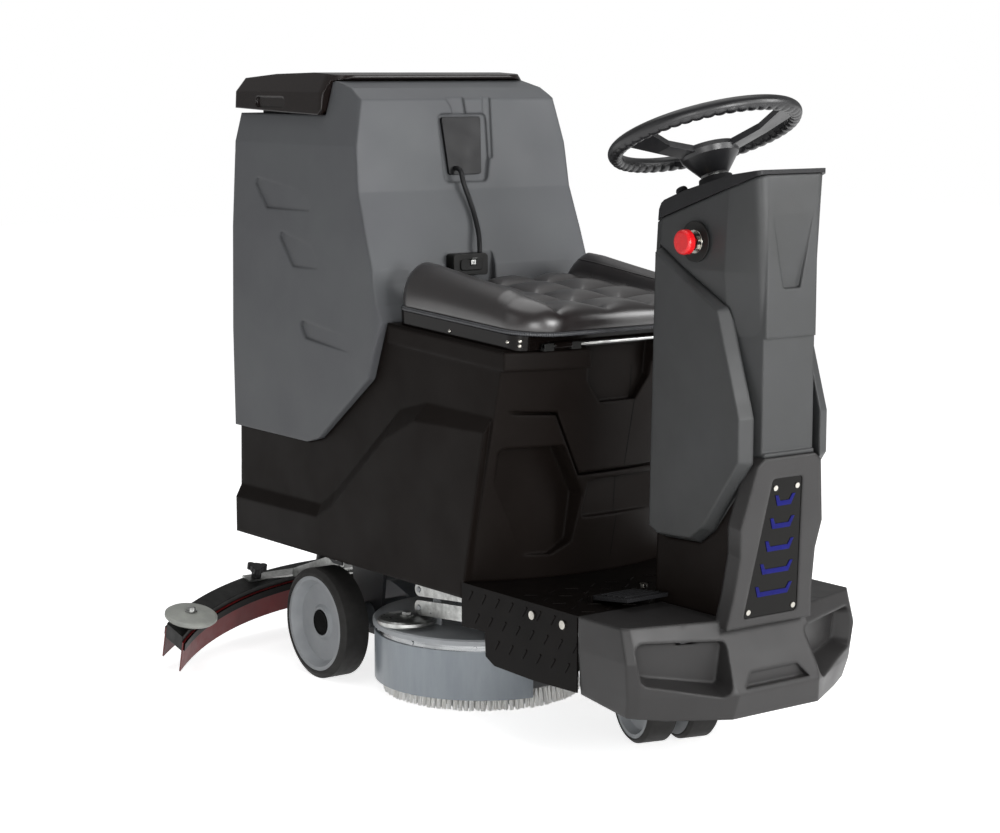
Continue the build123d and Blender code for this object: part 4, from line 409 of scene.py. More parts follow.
@dataclass(frozen=True)
class Moulding(Finish):
    """Moulded polyethylene or ABS: a fine eroded grain breaks up its highlights."""

    patch_mm: float = 180.0
    grain_mm: float = 2.4
    depth_mm: float = 0.12
    strength: float = 0.5
    grain: Grain = Grain.SATIN
    spread: float = 0.06
    edge_mm: float = 1.0
    specular: float = 0.5

    def fill(self, tree: Tree, shader: Node) -> None:
        """Adds the mottle of the tool's surface, the grain and the soft edges.

        Args:
            tree: the material's tree.
            shader: its principled shader.
        """
        shader.inputs["Specular IOR Level"].default_value = self.specular
        self.mottle(tree, shader, self.patch_mm)
        self.vary_roughness(tree, shader, self.patch_mm * 0.4, self.spread)
        if self.grain is Grain.LEATHERY:
            height = self.cells(tree, self.grain_mm, "DISTANCE_TO_EDGE")
        else:
            detail = 2.0 if self.grain is Grain.ORANGE_PEEL else 5.0
            height = self.noise(tree, self.grain_mm, detail, Roughness=0.7)
        self.relief(tree, shader, height, self.depth_mm, self.strength, self.edge_mm)


@dataclass(frozen=True)
class Metal(Finish):
    """Plated, rolled or brushed metal: full metallic, with clouds or streaks in its shine."""

    cloud_mm: float = 30.0
    streak: Point = (1, 1, 1)
    spread: float = 0.08
    grain_mm: float = 1.5
    depth_mm: float = 0.03

    def fill(self, tree: Tree, shader: Node) -> None:
        """Adds the clouds of the plating or the streaks of the brush.

        Args:
            tree: the material's tree.
            shader: its principled shader.
        """
        shader.inputs["Metallic"].default_value = 1.0
        self.mottle(tree, shader, self.cloud_mm, self.streak)
        self.vary_roughness(tree, shader, self.cloud_mm, self.spread)
        grain = self.noise(tree, self.grain_mm, 3.0, self.streak)
        self.relief(tree, shader, grain, self.depth_mm, 0.3)


@dataclass(frozen=True)
class Vinyl(Finish):
    """Coated upholstery vinyl: pores and fine creases under a soft sheen."""

    pore_mm: float = 2.2
    crease_mm: float = 26.0
    depth_mm: float = 0.16

    def fill(self, tree: Tree, shader: Node) -> None:
        """Adds the pores of the grain and the slow creases over the foam.

        Args:
            tree: the material's tree.
            shader: its principled shader.
        """
        shader.inputs["Coat Weight"].default_value = 0.8
        shader.inputs["Coat Roughness"].default_value = 0.3
        self.mottle(tree, shader, 60.0)
        self.vary_roughness(tree, shader, 35.0, 0.05)
        pores = self.cells(tree, self.pore_mm, "SMOOTH_F1")
        creases = self.noise(tree, self.crease_mm, 6.0, Distortion=0.6)
        both = {"operation": "MULTIPLY_ADD", 1: 1.2}
        height = add_node(tree, "ShaderNodeMath", both, {0: creases, 2: pores}).outputs["Value"]
        self.relief(tree, shader, height, self.depth_mm, 0.5)


@dataclass(frozen=True)
class Clear(Finish):
    """Soft flexible PVC or nylon: light passes a little way into it."""

    depth_mm: float = 1.5
    through: float = 0.3
    grain_mm: float = 3.0
    streak: Point = (1, 1, 1)

    def fill(self, tree: Tree, shader: Node) -> None:
        """Adds the scattering and a fine drawn grain.

        Args:
            tree: the material's tree.
            shader: its principled shader.
        """
        shader.inputs["Subsurface Weight"].default_value = self.through
        shader.inputs["Subsurface Radius"].default_value = (1.0, 0.95, 0.9)
        shader.inputs["Subsurface Scale"].default_value = self.depth_mm * MM
        self.mottle(tree, shader, 25.0, self.streak)
        grain = self.noise(tree, self.grain_mm, 2.0, self.streak)
        self.relief(tree, shader, grain, 0.1, 0.4)


PEEL = Grain.ORANGE_PEEL

# Rotomoulded black polyethylene: waxy and dull, its grain spreads the highlight wide.
BODY_PE = Moulding(
    "polyethylene_black_rotomoulded", "#120e0c", 0.46, "#161210", 220, 2.2, 0.16, 0.6,
    edge_mm=9.0, specular=0.06,
)
# The bumper is the body's black polyethylene with a little more sheen; its colour, a shade greyer
# than the body's, is painted light for its lit faces.
BUMPER_PE_PAINTED_LIGHT = Moulding(
    "polyethylene_black_bumper_painted_light", "#232222", 0.42, "#282727", 200, 2.4, 0.18, 0.6,
    edge_mm=9.0, specular=0.3,
)
# The column's covers are the same stock with a deeper eroded grain, so they look a shade greyer.
COLUMN_PE = Moulding(
    "polyethylene_black_grained", "#282929", 0.5, "#2d2e2f", 160, 2.6, 0.3, 0.75,
    edge_mm=7.0, specular=0.4,
)
# Grey rotomoulded tank: satin, nearly even, with a faint bloom.
TANK_PE = Moulding(
    "polyethylene_grey_rotomoulded", "#525356", 0.5, "#56585a", 260, 1.8, 0.08, 0.4,
    edge_mm=9.0, specular=0.3,
)
# Thermoformed lid in polished ABS: deep black with a clear reflection.
LID_ABS = Moulding(
    "abs_black_polished", "#150e0c", 0.2, "#191210", 300, 30.0, 0.1, 0.1, PEEL, 0.03,
    edge_mm=4.0, specular=0.4,
)
# Stove enamel on the seat's pressed pan: deep black and wet-looking.
PAN_ENAMEL = Moulding(
    "enamel_black_stoved", "#0b0807", 0.16, "#0e0a09", 120, 12.0, 0.05, 0.15, PEEL, 0.03,
    edge_mm=2.5, specular=0.16,
)
# The panel between the chevrons is smoked acrylic: nearly black, with the least sheen of all.
PANEL_ACRYLIC = Moulding(
    "acrylic_black_smoked", "#0a0908", 0.12, "#0c0b0a", 80, 20.0, 0.02, 0.1, PEEL, 0.03,
    specular=0.1,
)
# Injection-moulded ABS of the small covers: a fine spark-eroded satin.
COVER_ABS = Moulding(
    "abs_black_spark_eroded", "#171718", 0.42, "#1c1c1e", 120, 1.4, 0.1, 0.5,
    edge_mm=2.0, specular=0.2,
)
# Polyurethane skin of the steering wheel: soft, leathery, with a broad sheen.
WHEEL_PU = Moulding(
    "polyurethane_black_skinned", "#0e0e10", 0.36, "#141416", 90, 1.6, 0.08, 0.4, Grain.LEATHERY
)
# Powder coat on folded steel: fine orange peel, black on the tread plate and greyer on the frame.
PLATE_PAINT = Moulding(
    "powder_coat_black", "#0b0908", 0.34, "#0f0c0b", 140, 3.0, 0.08, 0.4, PEEL, specular=0.05
)
FRAME_PAINT = Moulding(
    "powder_coat_black_frame", "#202123", 0.45, "#262729", 140, 3.0, 0.08, 0.4, PEEL
)
# Sprayed enamel over castings, with the sand's texture still under it.
MOTOR_PAINT = Moulding("enamel_grey_cast", "#55585b", 0.45, "#5d6063", 60, 2.5, 0.2, 0.5, PEEL)
DECK_ALLOY = Moulding(
    "aluminium_cast_painted", "#9a9da0", 0.42, "#a5a8ab", 60, 3.0, 0.15, 0.4, PEEL
)
# Moulded tread rubber: matt, dusty where it rolls.
TYRE = Moulding(
    "rubber_black_moulded", "#1c1b1a", 0.7, "#242322", 40, 1.5, 0.15, 0.5, edge_mm=2.5, specular=0.3
)
# Glass-filled nylon of the rims and end rollers: mid grey and slightly cloudy.
RIM_NYLON = Moulding("nylon_grey_moulded", "#8b8e91", 0.5, "#94979a", 70, 2.0, 0.08, 0.4)
ROLLER_NYLON = Moulding("nylon_grey_turned", "#8f918c", 0.42, "#9b9d97", 30, 2.0, 0.06, 0.3)
# Red polyurethane blades: smooth, a little wet-looking.
BLADE_PU = Moulding(
    "polyurethane_red_cast", "#5e1113", 0.42, "#691618", 60, 6.0, 0.1, 0.3, PEEL, specular=0.25
)
# Injection-moulded ABS of the button and the chevrons: one polished, one dull.
BUTTON_ABS = Moulding("abs_red_polished", "#d0161c", 0.28, "#c51219", 40, 12.0, 0.05, 0.1, PEEL)
CHEVRON_ABS = Moulding(
    "abs_blue_moulded", "#090b4c", 0.5, "#0b0e57", 40, 1.6, 0.06, 0.4, specular=0.1
)
# Polypropylene of the battery cases and the brush's block: dull, with a soft grain.
BATTERY_PP = Moulding("polypropylene_black_moulded", "#2a2b2d", 0.5, "#303133", 90, 2.0, 0.08, 0.4)
# Zinc plate: bluish white clouds over dull steel.
ZINC = Metal("steel_zinc_plated", "#b9bab8", 0.34, "#9d9e9c", 14)
# Nickel over brass: warmer and smoother than zinc.
NICKEL = Metal("brass_nickel_plated", "#b9b6af", 0.26, "#a5a29b", 20, spread=0.05)
# Rolled stainless strip: streaks run round the deck, so they are squeezed in height.
STAINLESS = Metal("stainless_steel_rolled", "#a3a5a6", 0.24, "#858789", 60, (1, 1, 12))
# Embossed vinyl: its broad sheen picks out the rolled front of the cushion.
SEAT_VINYL = Vinyl("vinyl_black_upholstery", "#100a0a", 0.34, "#150d0d")
# Ribbed black PVC edging of the cushion: glossy, so each rib catches a spark of light; its dark grey
# colour, lighter than black PVC, is painted sheen.
EDGING_PVC_PAINTED_SHEEN = Moulding(
    "pvc_black_ribbed_edging_painted_sheen", "#333437", 0.2, "#3b3c3f", 50, 4.0, 0.04, 0.2, PEEL
)
# The boss under the emergency stop, the seat's knuckles and the squeegee's body: dull ABS.
BOSS_ABS = Moulding(
    "abs_black_matt", "#121211", 0.5, "#161615", 50, 1.4, 0.1, 0.5, edge_mm=2.5, specular=0.25
)
# Cream acetal: smooth, faintly waxy.
CREAM_POM = Moulding("acetal_cream_turned", "#cdbb8e", 0.35, "#d3c297", 20, 6.0, 0.04, 0.2, PEEL)
# Painted shade: a near-black strip stands for the shadow in the open line where two mouldings meet,
# all the way down, and the same near-black stands for the shade in the rear wheels' hub bores.
PAINTED_SHADE_BLACK = Moulding(
    "painted_shade_seam_and_bore", "#050505", 0.8, "#070707", 50, 2.0, 0.05, 0.2, specular=0.1
)
# Extruded flexible PVC and drawn nylon let light a little way in, so they look soft.
SKIRT_PVC = Clear("pvc_grey_flexible", "#878e95", 0.3, "#90979d", 2.0, 0.15, 12.0, (1, 1, 0.2))
BRISTLE_NYLON = Clear("nylon_white_drawn", "#fbfaf7", 0.5, "#f2f1ec", 3.0, 0.5, 3.0, (1, 1, 0.1))

NODE_FINISHES: dict[Finish, str] = {
    BODY_PE: "main_body lower_column",
    BUMPER_PE_PAINTED_LIGHT: "front_bumper",
    COLUMN_PE: "console_shell column_covers",
    TANK_PE: "recovery_tank",
    LID_ABS: "tank_lid",
    PAN_ENAMEL: "seat_pan",
    PANEL_ACRYLIC: "front_panel",
    BOSS_ABS: "console_fittings tank_connector squeegee_body seat_hinge",
    COVER_ABS: "console_cap tank_plate accelerator_pedal horn_button "
    "squeegee_knob_left squeegee_knob_right",
    WHEEL_PU: "steering_wheel",
    PLATE_PAINT: "platform_plate blade_straps",
    FRAME_PAINT: "chassis_frame steering_fork steering_bearing tank_hinge",
    MOTOR_PAINT: "rear_transaxle brush_motor vacuum_motor",
    TYRE: "rear_tyre_left rear_tyre_right front_tyre_left front_tyre_right",
    RIM_NYLON: "rear_rim_left rear_rim_right front_rim_left front_rim_right",
    ROLLER_NYLON: "end_roller_left end_roller_right",
    BLADE_PU: "squeegee_blades",
    BUTTON_ABS: "estop_button",
    CHEVRON_ABS: "panel_chevrons",
    BATTERY_PP: "batteries",
    DECK_ALLOY: "deck_housing",
    ZINC: "steering_chain steering_shaft lower_shaft guide_roller lift_link_upper "
    "lift_link_lower squeegee_hanger squeegee_plate",
    NICKEL: "platform_bolts panel_screws ignition_key",
    STAINLESS: "deck_band",
    SKIRT_PVC: "deck_skirt",
    BRISTLE_NYLON: "scrub_brush",
}


class FinishShop:
    """Builds each finish once and hands it out."""

    def __init__(self) -> None:
        """Starts with no material built."""
        self.built: dict[str, Material] = {}

    def get(self, finish: Finish) -> Material:
        """Gives a finish's material, built on first use.

        Args:
            finish: the finish that is asked for.

        Returns:
            Its material.
        """
        if finish.label not in self.built:
            self.built[finish.label] = finish.build()
        return self.built[finish.label]

    def dress(self, nodes: dict[str, Object]) -> None:
        """Gives each CAD node its finish. The nodes keep the normals that they come with.

        Args:
            nodes: the CAD pieces by name.
        """
        for finish, names in NODE_FINISHES.items():
            for name in names.split():
                materials = nodes[name].data.materials
                materials.clear()
                materials.append(self.get(finish))


@dataclass
class SubAssembly:
    """Some pieces that belong together and are made in one go, with materials from one shop."""

    shop: FinishShop
    made: list[Object] = field(default_factory=list)

    def build(self) -> None:
        """Makes the pieces and puts them where they belong."""
        raise NotImplementedError

    def piece(
        self, form: MeshDraft | bpy.types.Curve, name: str, finish: Finish, body: str, slot: str,
        sharp_deg: float = 35.0,
    ) -> Object:
        """Makes one piece that rides on a body, and lists it.

        Args:
            form: its points and faces, or its curve.
            name: the piece's name.
            finish: its finish.
            body: the CAD body that it rides on.
            slot: not used.
            sharp_deg: edges that turn by more than this stay sharp; 180 keeps none.

        Returns:
            The new object.
        """
        data = form.mesh(name, sharp_deg) if isinstance(form, MeshDraft) else form
        data.materials.append(self.shop.get(finish))
        piece = add_object(name, data)
        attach(piece, body)
        self.made.append(piece)
        return piece


# ------------------------------------------------------------------ seat
@dataclass
class SeatCushion(SubAssembly):
    """The driver's cushion: quilted vinyl over foam between two rising side bolsters."""

    origin: Point = (0.0, -0.315985, 0.737)
    slope: float = math.radians(2.9)
    foot: float = 0.0296
    front: float = -0.024
    rear: float = 0.41
    half_width: float = 0.247
    front_corner: float = 0.085
    rear_corner: float = 0.045
    edge_round: float = 0.062
    front_round: float = 0.034
    waist: float = 0.016
    tuck: float = 0.034
    crown: float = 0.054
    crown_rise: float = 0.006
    rim_blend: float = 0.08
    quilt_half: float = 0.174
    quilt_columns: int = 3
    quilt_start: float = 0.005
    quilt_pitch: float = 0.112
    quilt_depth: float = 0.019
    quilt_fade: Pair = (0.004, 0.03)
    seam_sink: float = 0.009
    seam_width: float = 0.006
    held_under: float = 0.3
    held_inside: float = 0.03
    bolster_at: float = 0.212
    bolster_lift: float = 0.02
    bolster_gain: float = 0.02
    cells: int = 104
    edge_cells: int = 12
    skirt_rows: int = 5
    settle_frames: int = 14
    settle_cap: float = 0.008
    pressure: float = 4.0
    tension: float = 20.0
    bending: float = 4.0

    @property
    def half_length(self) -> float:
        """Half the cushion's length along the seat."""
        return (self.rear - self.front) / 2

    @property
    def centre(self) -> float:
        """Its middle, along the seat."""
        return (self.rear + self.front) / 2

    def to_frame(self, across: float, along: float, up: float) -> Vector:
        """Turns seat coordinates to the frame's.

        Args:
            across: from the middle.
            along: from the hinge to the rear.
            up: from the seat's base.

        Returns:
            The point in the frame.
        """
        cos_slope, sin_slope = math.cos(self.slope), math.sin(self.slope)
        turned = (across, along * cos_slope - up * sin_slope, along * sin_slope + up * cos_slope)
        return Vector([start + step for start, step in zip(self.origin, turned)])

    def to_seat(self, point: Vector) -> Point:
        """Turns a point of the frame to seat coordinates.

        Args:
            point: the point in the frame.

        Returns:
            Its distances across, along and up.
        """
        cos_slope, sin_slope = math.cos(self.slope), math.sin(self.slope)
        y, z = point[1] - self.origin[1], point[2] - self.origin[2]
        return point[0], y * cos_slope + z * sin_slope, z * cos_slope - y * sin_slope

    def spacing(self, half: float) -> list[float]:
        """Places the grid lines across one direction, close together at both rims.

        Args:
            half: half the cushion's size in that direction.

        Returns:
            The distance of each line from the middle.
        """
        rim = [
            self.edge_round * (1 - math.cos(QUARTER * step / self.edge_cells))
            for step in range(self.edge_cells)
        ]
        middle_cells = self.cells - 2 * self.edge_cells
        inner = half - self.edge_round
        middle = [-inner + 2 * inner * step / middle_cells for step in range(middle_cells + 1)]
        return [d - half for d in rim] + middle + [half - d for d in reversed(rim)]

    def corner(self, along: float) -> float:
        """Radius of the outline's corners before or behind the cushion's middle."""
        return self.rear_corner if along > 0 else self.front_corner

    def rounded(self, across: float, along: float) -> Pair:
        """Moves a point of the square-cornered grid so that the outline gets round corners.

        Args:
            across: from the middle.
            along: from the middle.

        Returns:
            The moved point.
        """
        corner = self.corner(along)
        inner_x, inner_y = self.half_width - corner, self.half_length - corner
        s = (abs(across) - inner_x) / corner
        t = (abs(along) - inner_y) / corner
        if s <= 0 or t <= 0:
            return across, along
        x = inner_x + s * math.sqrt(1 - t * t / 2) * corner
        y = inner_y + t * math.sqrt(1 - s * s / 2) * corner
        return math.copysign(x, across), math.copysign(y, along)

    def depth_inside(self, across: float, along: float) -> float:
        """Measures how far inside the outline a point is.

        Args:
            across: from the middle.
            along: from the middle.

        Returns:
            The distance to the outline.
        """
        corner = self.corner(along)
        qx = abs(across) - (self.half_width - corner)
        qy = abs(along) - (self.half_length - corner)
        return max(0.0, corner - math.hypot(max(qx, 0), max(qy, 0)) - min(max(qx, qy), 0))

    def rim_width(self, across: float, along: float) -> float:
        """Width over which the rim rounds off: narrow along the front, wide along the bolsters.

        Args:
            across: from the middle.
            along: from the middle.

        Returns:
            The width.
        """
        to_side = self.half_width - abs(across)
        to_front = self.half_length + along
        share = limited((to_side - to_front) / self.rim_blend + 0.5)
        share = share * share * (3 - 2 * share)
        return self.edge_round + (self.front_round - self.edge_round) * share

    def quilt(self, across: float, forward: float) -> float:
        """Tells the seams of the quilting from its lobes.

        Args:
            across: from the middle.
            forward: from the front edge.

        Returns:
            Share of the quilting's height: 0 in a seam, 1 on a lobe.
        """
        if abs(across) > self.quilt_half:
            return 1.0
        column = (across + self.quilt_half) / (2 * self.quilt_half) * self.quilt_columns
        row = (forward - self.quilt_start) / self.quilt_pitch
        seam_x = abs(math.sin(math.pi * column)) ** 0.6
        seam_y = abs(math.sin(math.pi * row)) ** 0.6 if row > 0.5 else 1.0
        fade = limited((forward - self.quilt_fade[0]) / self.quilt_fade[1])
        return 1 - fade * (1 - min(seam_x, seam_y) * (0.6 + 0.4 * max(seam_x, seam_y)))

    def height(self, across: float, forward: float) -> float:
        """Height of the cushion's top over its foot, before its rim rounds it off.

        Args:
            across: from the middle.
            forward: from the front edge.

        Returns:
            The height in metres.
        """
        share = forward / (2 * self.half_length)
        middle = self.crown + self.crown_rise * share
        lift = self.bolster_lift + self.bolster_gain * limited((share - 0.2) / 0.6)
        rise = limited((share - 0.02) / 0.25) ** 0.8
        inner = max(0.0, self.bolster_at - abs(across)) / (self.bolster_at - self.quilt_half)
        pad = math.cos(min(1.0, inner) * QUARTER) ** 0.55 if inner < 1 else 0.0
        sewn = self.quilt_depth * (self.quilt(across, forward) - 1)
        beside = (abs(across) - self.quilt_half) / self.seam_width
        seam = -self.seam_sink * math.exp(-(beside**2)) * rise
        return middle + lift * rise * pad + sewn + seam

    def build(self) -> None:
        """Builds the cushion, lets its vinyl settle over the seams, and puts it on the seat."""
        xs, ys = self.spacing(self.half_width), self.spacing(self.half_length)
        points: list[Vector] = []
        pinned: list[int] = []
        for raw_y in ys:
            for raw_x in xs:
                x, y = self.rounded(raw_x, raw_y)
                depth = self.depth_inside(x, y)
                turn = min(1.0, depth / self.rim_width(x, y))
                dome = (1 - (1 - turn) ** 2) ** 0.42
                top = self.height(x, y + self.half_length)
                sewn = self.quilt(x, y + self.half_length) < self.held_under
                if sewn and depth > self.held_inside:
                    pinned.append(len(points))
                up = self.foot + self.waist + (top - self.waist) * dome
                points.append(self.to_frame(x, self.centre + y, up))
        wide, last = len(xs), len(ys) - 1
        faces = [
            (r * wide + c, r * wide + c + 1, (r + 1) * wide + c + 1, (r + 1) * wide + c)
            for r in range(last)
            for c in range(wide - 1)
        ]
        rim = list(range(wide)) + [r * wide + wide - 1 for r in range(1, last + 1)]
        rim += [last * wide + c for c in range(wide - 2, -1, -1)]
        rim += [r * wide for r in range(last - 1, 0, -1)]
        ring = rim
        for row in range(1, self.skirt_rows + 1):
            turn = QUARTER * row / self.skirt_rows
            tuck = 1 - self.tuck * (1 - math.cos(turn))
            up = self.foot
            if row < self.skirt_rows:
                up += self.waist * (1 - math.sin(turn))
            new_ring = list(range(len(points), len(points) + len(rim)))
            for corner in rim:
                x, y, _ = self.to_seat(points[corner])
                y = self.centre + (y - self.centre) * tuck
                points.append(self.to_frame(x * tuck, y, up))
            for step in range(len(rim)):
                after = (step + 1) % len(rim)
                faces.append((ring[after], ring[step], new_ring[step], new_ring[after]))
            if row >= self.skirt_rows - 1:
                pinned.extend(new_ring)
            ring = new_ring
        faces.append(tuple(ring))
        draft = MeshDraft(points, faces)
        cushion = self.piece(draft, "seat_cushion_vinyl", SEAT_VINYL, "seat", "seat_vinyl", 180)
        self.settle(cushion, pinned)
        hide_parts("seat_cushion")

    def settle(self, cushion: Object, pinned: Sequence[int]) -> None:
        """Blows the vinyl up a little between its seams, as foam does, and caps the swelling.

        Args:
            cushion: the piece to settle.
            pinned: vertices that its seams and base hold.
        """
        cushion.vertex_groups.new(name="seams").add(list(pinned), 1.0, "REPLACE")
        before = [vertex.co.copy() for vertex in cushion.data.vertices]
        cloth = cushion.modifiers.new("vinyl", "CLOTH")
        cloth.settings.use_pressure = True
        cloth.settings.uniform_pressure_force = self.pressure
        cloth.settings.vertex_group_mass = "seams"
        cloth.settings.tension_stiffness = self.tension
        cloth.settings.bending_stiffness = self.bending
        cloth.settings.effector_weights.gravity = 0.0
        cloth.point_cache.frame_start = 1
        cloth.point_cache.frame_end = self.settle_frames
        for step in range(1, self.settle_frames + 1):
            bpy.context.scene.frame_set(step)
        graph = bpy.context.evaluated_depsgraph_get()
        moved = [vertex.co.copy() for vertex in cushion.evaluated_get(graph).to_mesh().vertices]
        cushion.modifiers.remove(cloth)
        for vertex, old, new in zip(cushion.data.vertices, before, moved):
            swelling = new - old
            if swelling.length > self.settle_cap:
                swelling *= self.settle_cap / swelling.length
            vertex.co = old + swelling
        cushion.data.update()
        bpy.context.scene.frame_set(1)


@dataclass
class SeatTrim(SubAssembly):
    """Ribbed edging round the cushion's foot, the welts of its bolsters and the pan's rivets."""

    seat: SeatCushion = field(kw_only=True)
    edging: float = 0.0042
    rib_pitch: float = 0.0045
    rib: float = 0.0007
    inset: float = 0.001
    rings_per_rib: int = 4
    welt: float = 0.0016
    welt_beside: float = 0.009
    welt_from: float = 0.07
    welt_to: float = 0.40
    welt_steps: int = 40
    rivet: float = 0.0042
    rivets: tuple[Pair, ...] = (
        (-0.089985, 0.758), (-0.272985, 0.754), (-0.296985, 0.757), (-0.295985, 0.748),
    )

    def outline(self, grow: float, up: float) -> list[Vector]:
        """Evenly spaced points round the cushion's foot.

        Args:
            grow: how far outside the outline they lie.
            up: their height over the seat's base.

        Returns:
            The points, in the frame.
        """
        seat = self.seat
        pitch = self.rib_pitch / self.rings_per_rib
        hubs, radii = [], []
        for sx, sy in ((1, 1), (-1, 1), (-1, -1), (1, -1)):
            corner = seat.corner(sy)
            side = sx * (seat.half_width - corner)
            hubs.append(Vector((side, seat.centre + sy * (seat.half_length - corner))))
            radii.append(corner + grow)
        points = []
        for quadrant, (hub, radius) in enumerate(zip(hubs, radii)):
            steps = round(radius * QUARTER / pitch)
            for index in range(steps):
                angle = QUARTER * (quadrant + index / steps)
                points.append(hub + Vector((math.cos(angle), math.sin(angle))) * radius)
            angle, following = QUARTER * (quadrant + 1), (quadrant + 1) % 4
            outward = Vector((math.cos(angle), math.sin(angle)))
            leaving, arriving = hub + outward * radius, hubs[following] + outward * radii[following]
            steps = max(1, round((arriving - leaving).length / pitch))
            points.extend(leaving.lerp(arriving, index / steps) for index in range(steps))
        return [seat.to_frame(point.x, point.y, up) for point in points]

    def build(self) -> None:
        """Builds the edging, the welts and the rivets."""
        self.build_edging()
        self.build_welts()
        self.build_rivets()

    def build_edging(self) -> None:
        """Builds the ribbed edging that holds the vinyl to its base."""
        line = self.outline(-self.inset, self.seat.foot + self.edging)
        ribs = [math.cos(math.tau * index / self.rings_per_rib) for index in range(len(line))]
        draft = MeshDraft()
        draft.swept(line, [self.edging + self.rib * rib for rib in ribs], closed=True)
        self.piece(draft, "seat_edging", EDGING_PVC_PAINTED_SHEEN, "seat", "seat_vinyl", 60)

    def build_welts(self) -> None:
        """Builds the welts sewn along the crease between each bolster and the quilted middle."""
        seat, count = self.seat, self.welt_steps
        draft = MeshDraft()
        for side in (-1, 1):
            line, radii = [], []
            for step in range(count + 1):
                forward = self.welt_from + (self.welt_to - self.welt_from) * step / count
                across = side * (seat.quilt_half + self.welt_beside)
                up = seat.foot + seat.height(across, forward) - self.welt * 0.4
                line.append(seat.to_frame(across, seat.front + forward, up))
                radii.append(self.welt * min(1.0, 0.25 + 0.25 * min(step, count - step)))
            draft.swept(line, radii, closed=False)
        self.piece(draft, "seat_welts", SEAT_VINYL, "seat", "seat_vinyl", 60)

    def build_rivets(self) -> None:
        """Presses the domed rivets into the sides of the pan."""
        draft = MeshDraft()
        dome = ((1.0, -0.2), (1.0, 0.1), (0.86, 0.38), (0.55, 0.6), (0.15, 0.68))
        profile = [(radius * self.rivet, height * self.rivet) for radius, height in dome]
        for side in (-1, 1):
            for along, up in self.rivets:
                found = on_surface("seat_pan", (side * 0.4, along, up), (-side, 0, 0))
                if found:
                    draft.turned(profile, *found, 14)
        self.piece(draft, "seat_rivets", NICKEL, "seat", "bright_nut")


# ------------------------------------------------------------------ steering wheel
@dataclass
class RimGrips(SubAssembly):
    """Finger scallops moulded along the underside of the steering wheel's rim."""

    centre: Point = (0.0, -0.536985, 1.136)
    tilt: float = math.radians(21.2)
    radius: float = 0.1655
    tube: float = 0.0127
    scallops: int = 52
    steps: int = 8
    rise: float = 0.0024
    sink: float = 0.0004
    from_deg: float = -175.0
    to_deg: float = -35.0
    across: int = 10

    def build(self) -> None:
        """Builds the band of scallops."""
        up = Vector((0, math.sin(self.tilt), math.cos(self.tilt)))
        side = Vector((1, 0, 0))
        ahead = up.cross(side)
        rings, wide = self.scallops * self.steps, self.across + 1
        draft = MeshDraft()
        for ring in range(rings):
            turn = math.tau * ring / rings
            out = side * math.cos(turn) + ahead * math.sin(turn)
            wave = abs(math.sin(math.pi * ring / self.steps)) ** 0.7
            for step in range(wide):
                share = step / self.across
                angle = math.radians(self.from_deg + (self.to_deg - self.from_deg) * share)
                bulge = math.sin(math.pi * share)
                reach = self.tube + self.rise * wave * bulge**0.6 - self.sink * (1 - bulge)
                wide_by = self.radius + reach * math.cos(angle)
                high_by = reach * math.sin(angle)
                draft.points.append(Vector(self.centre) + out * wide_by + up * high_by)
        for ring in range(rings):
            here, there = ring * wide, (ring + 1) % rings * wide
            for step in range(self.across):
                draft.faces.append((here + step, there + step, there + step + 1, here + step + 1))
        self.piece(draft, "rim_grips", WHEEL_PU, "steering", "control_black", 60)


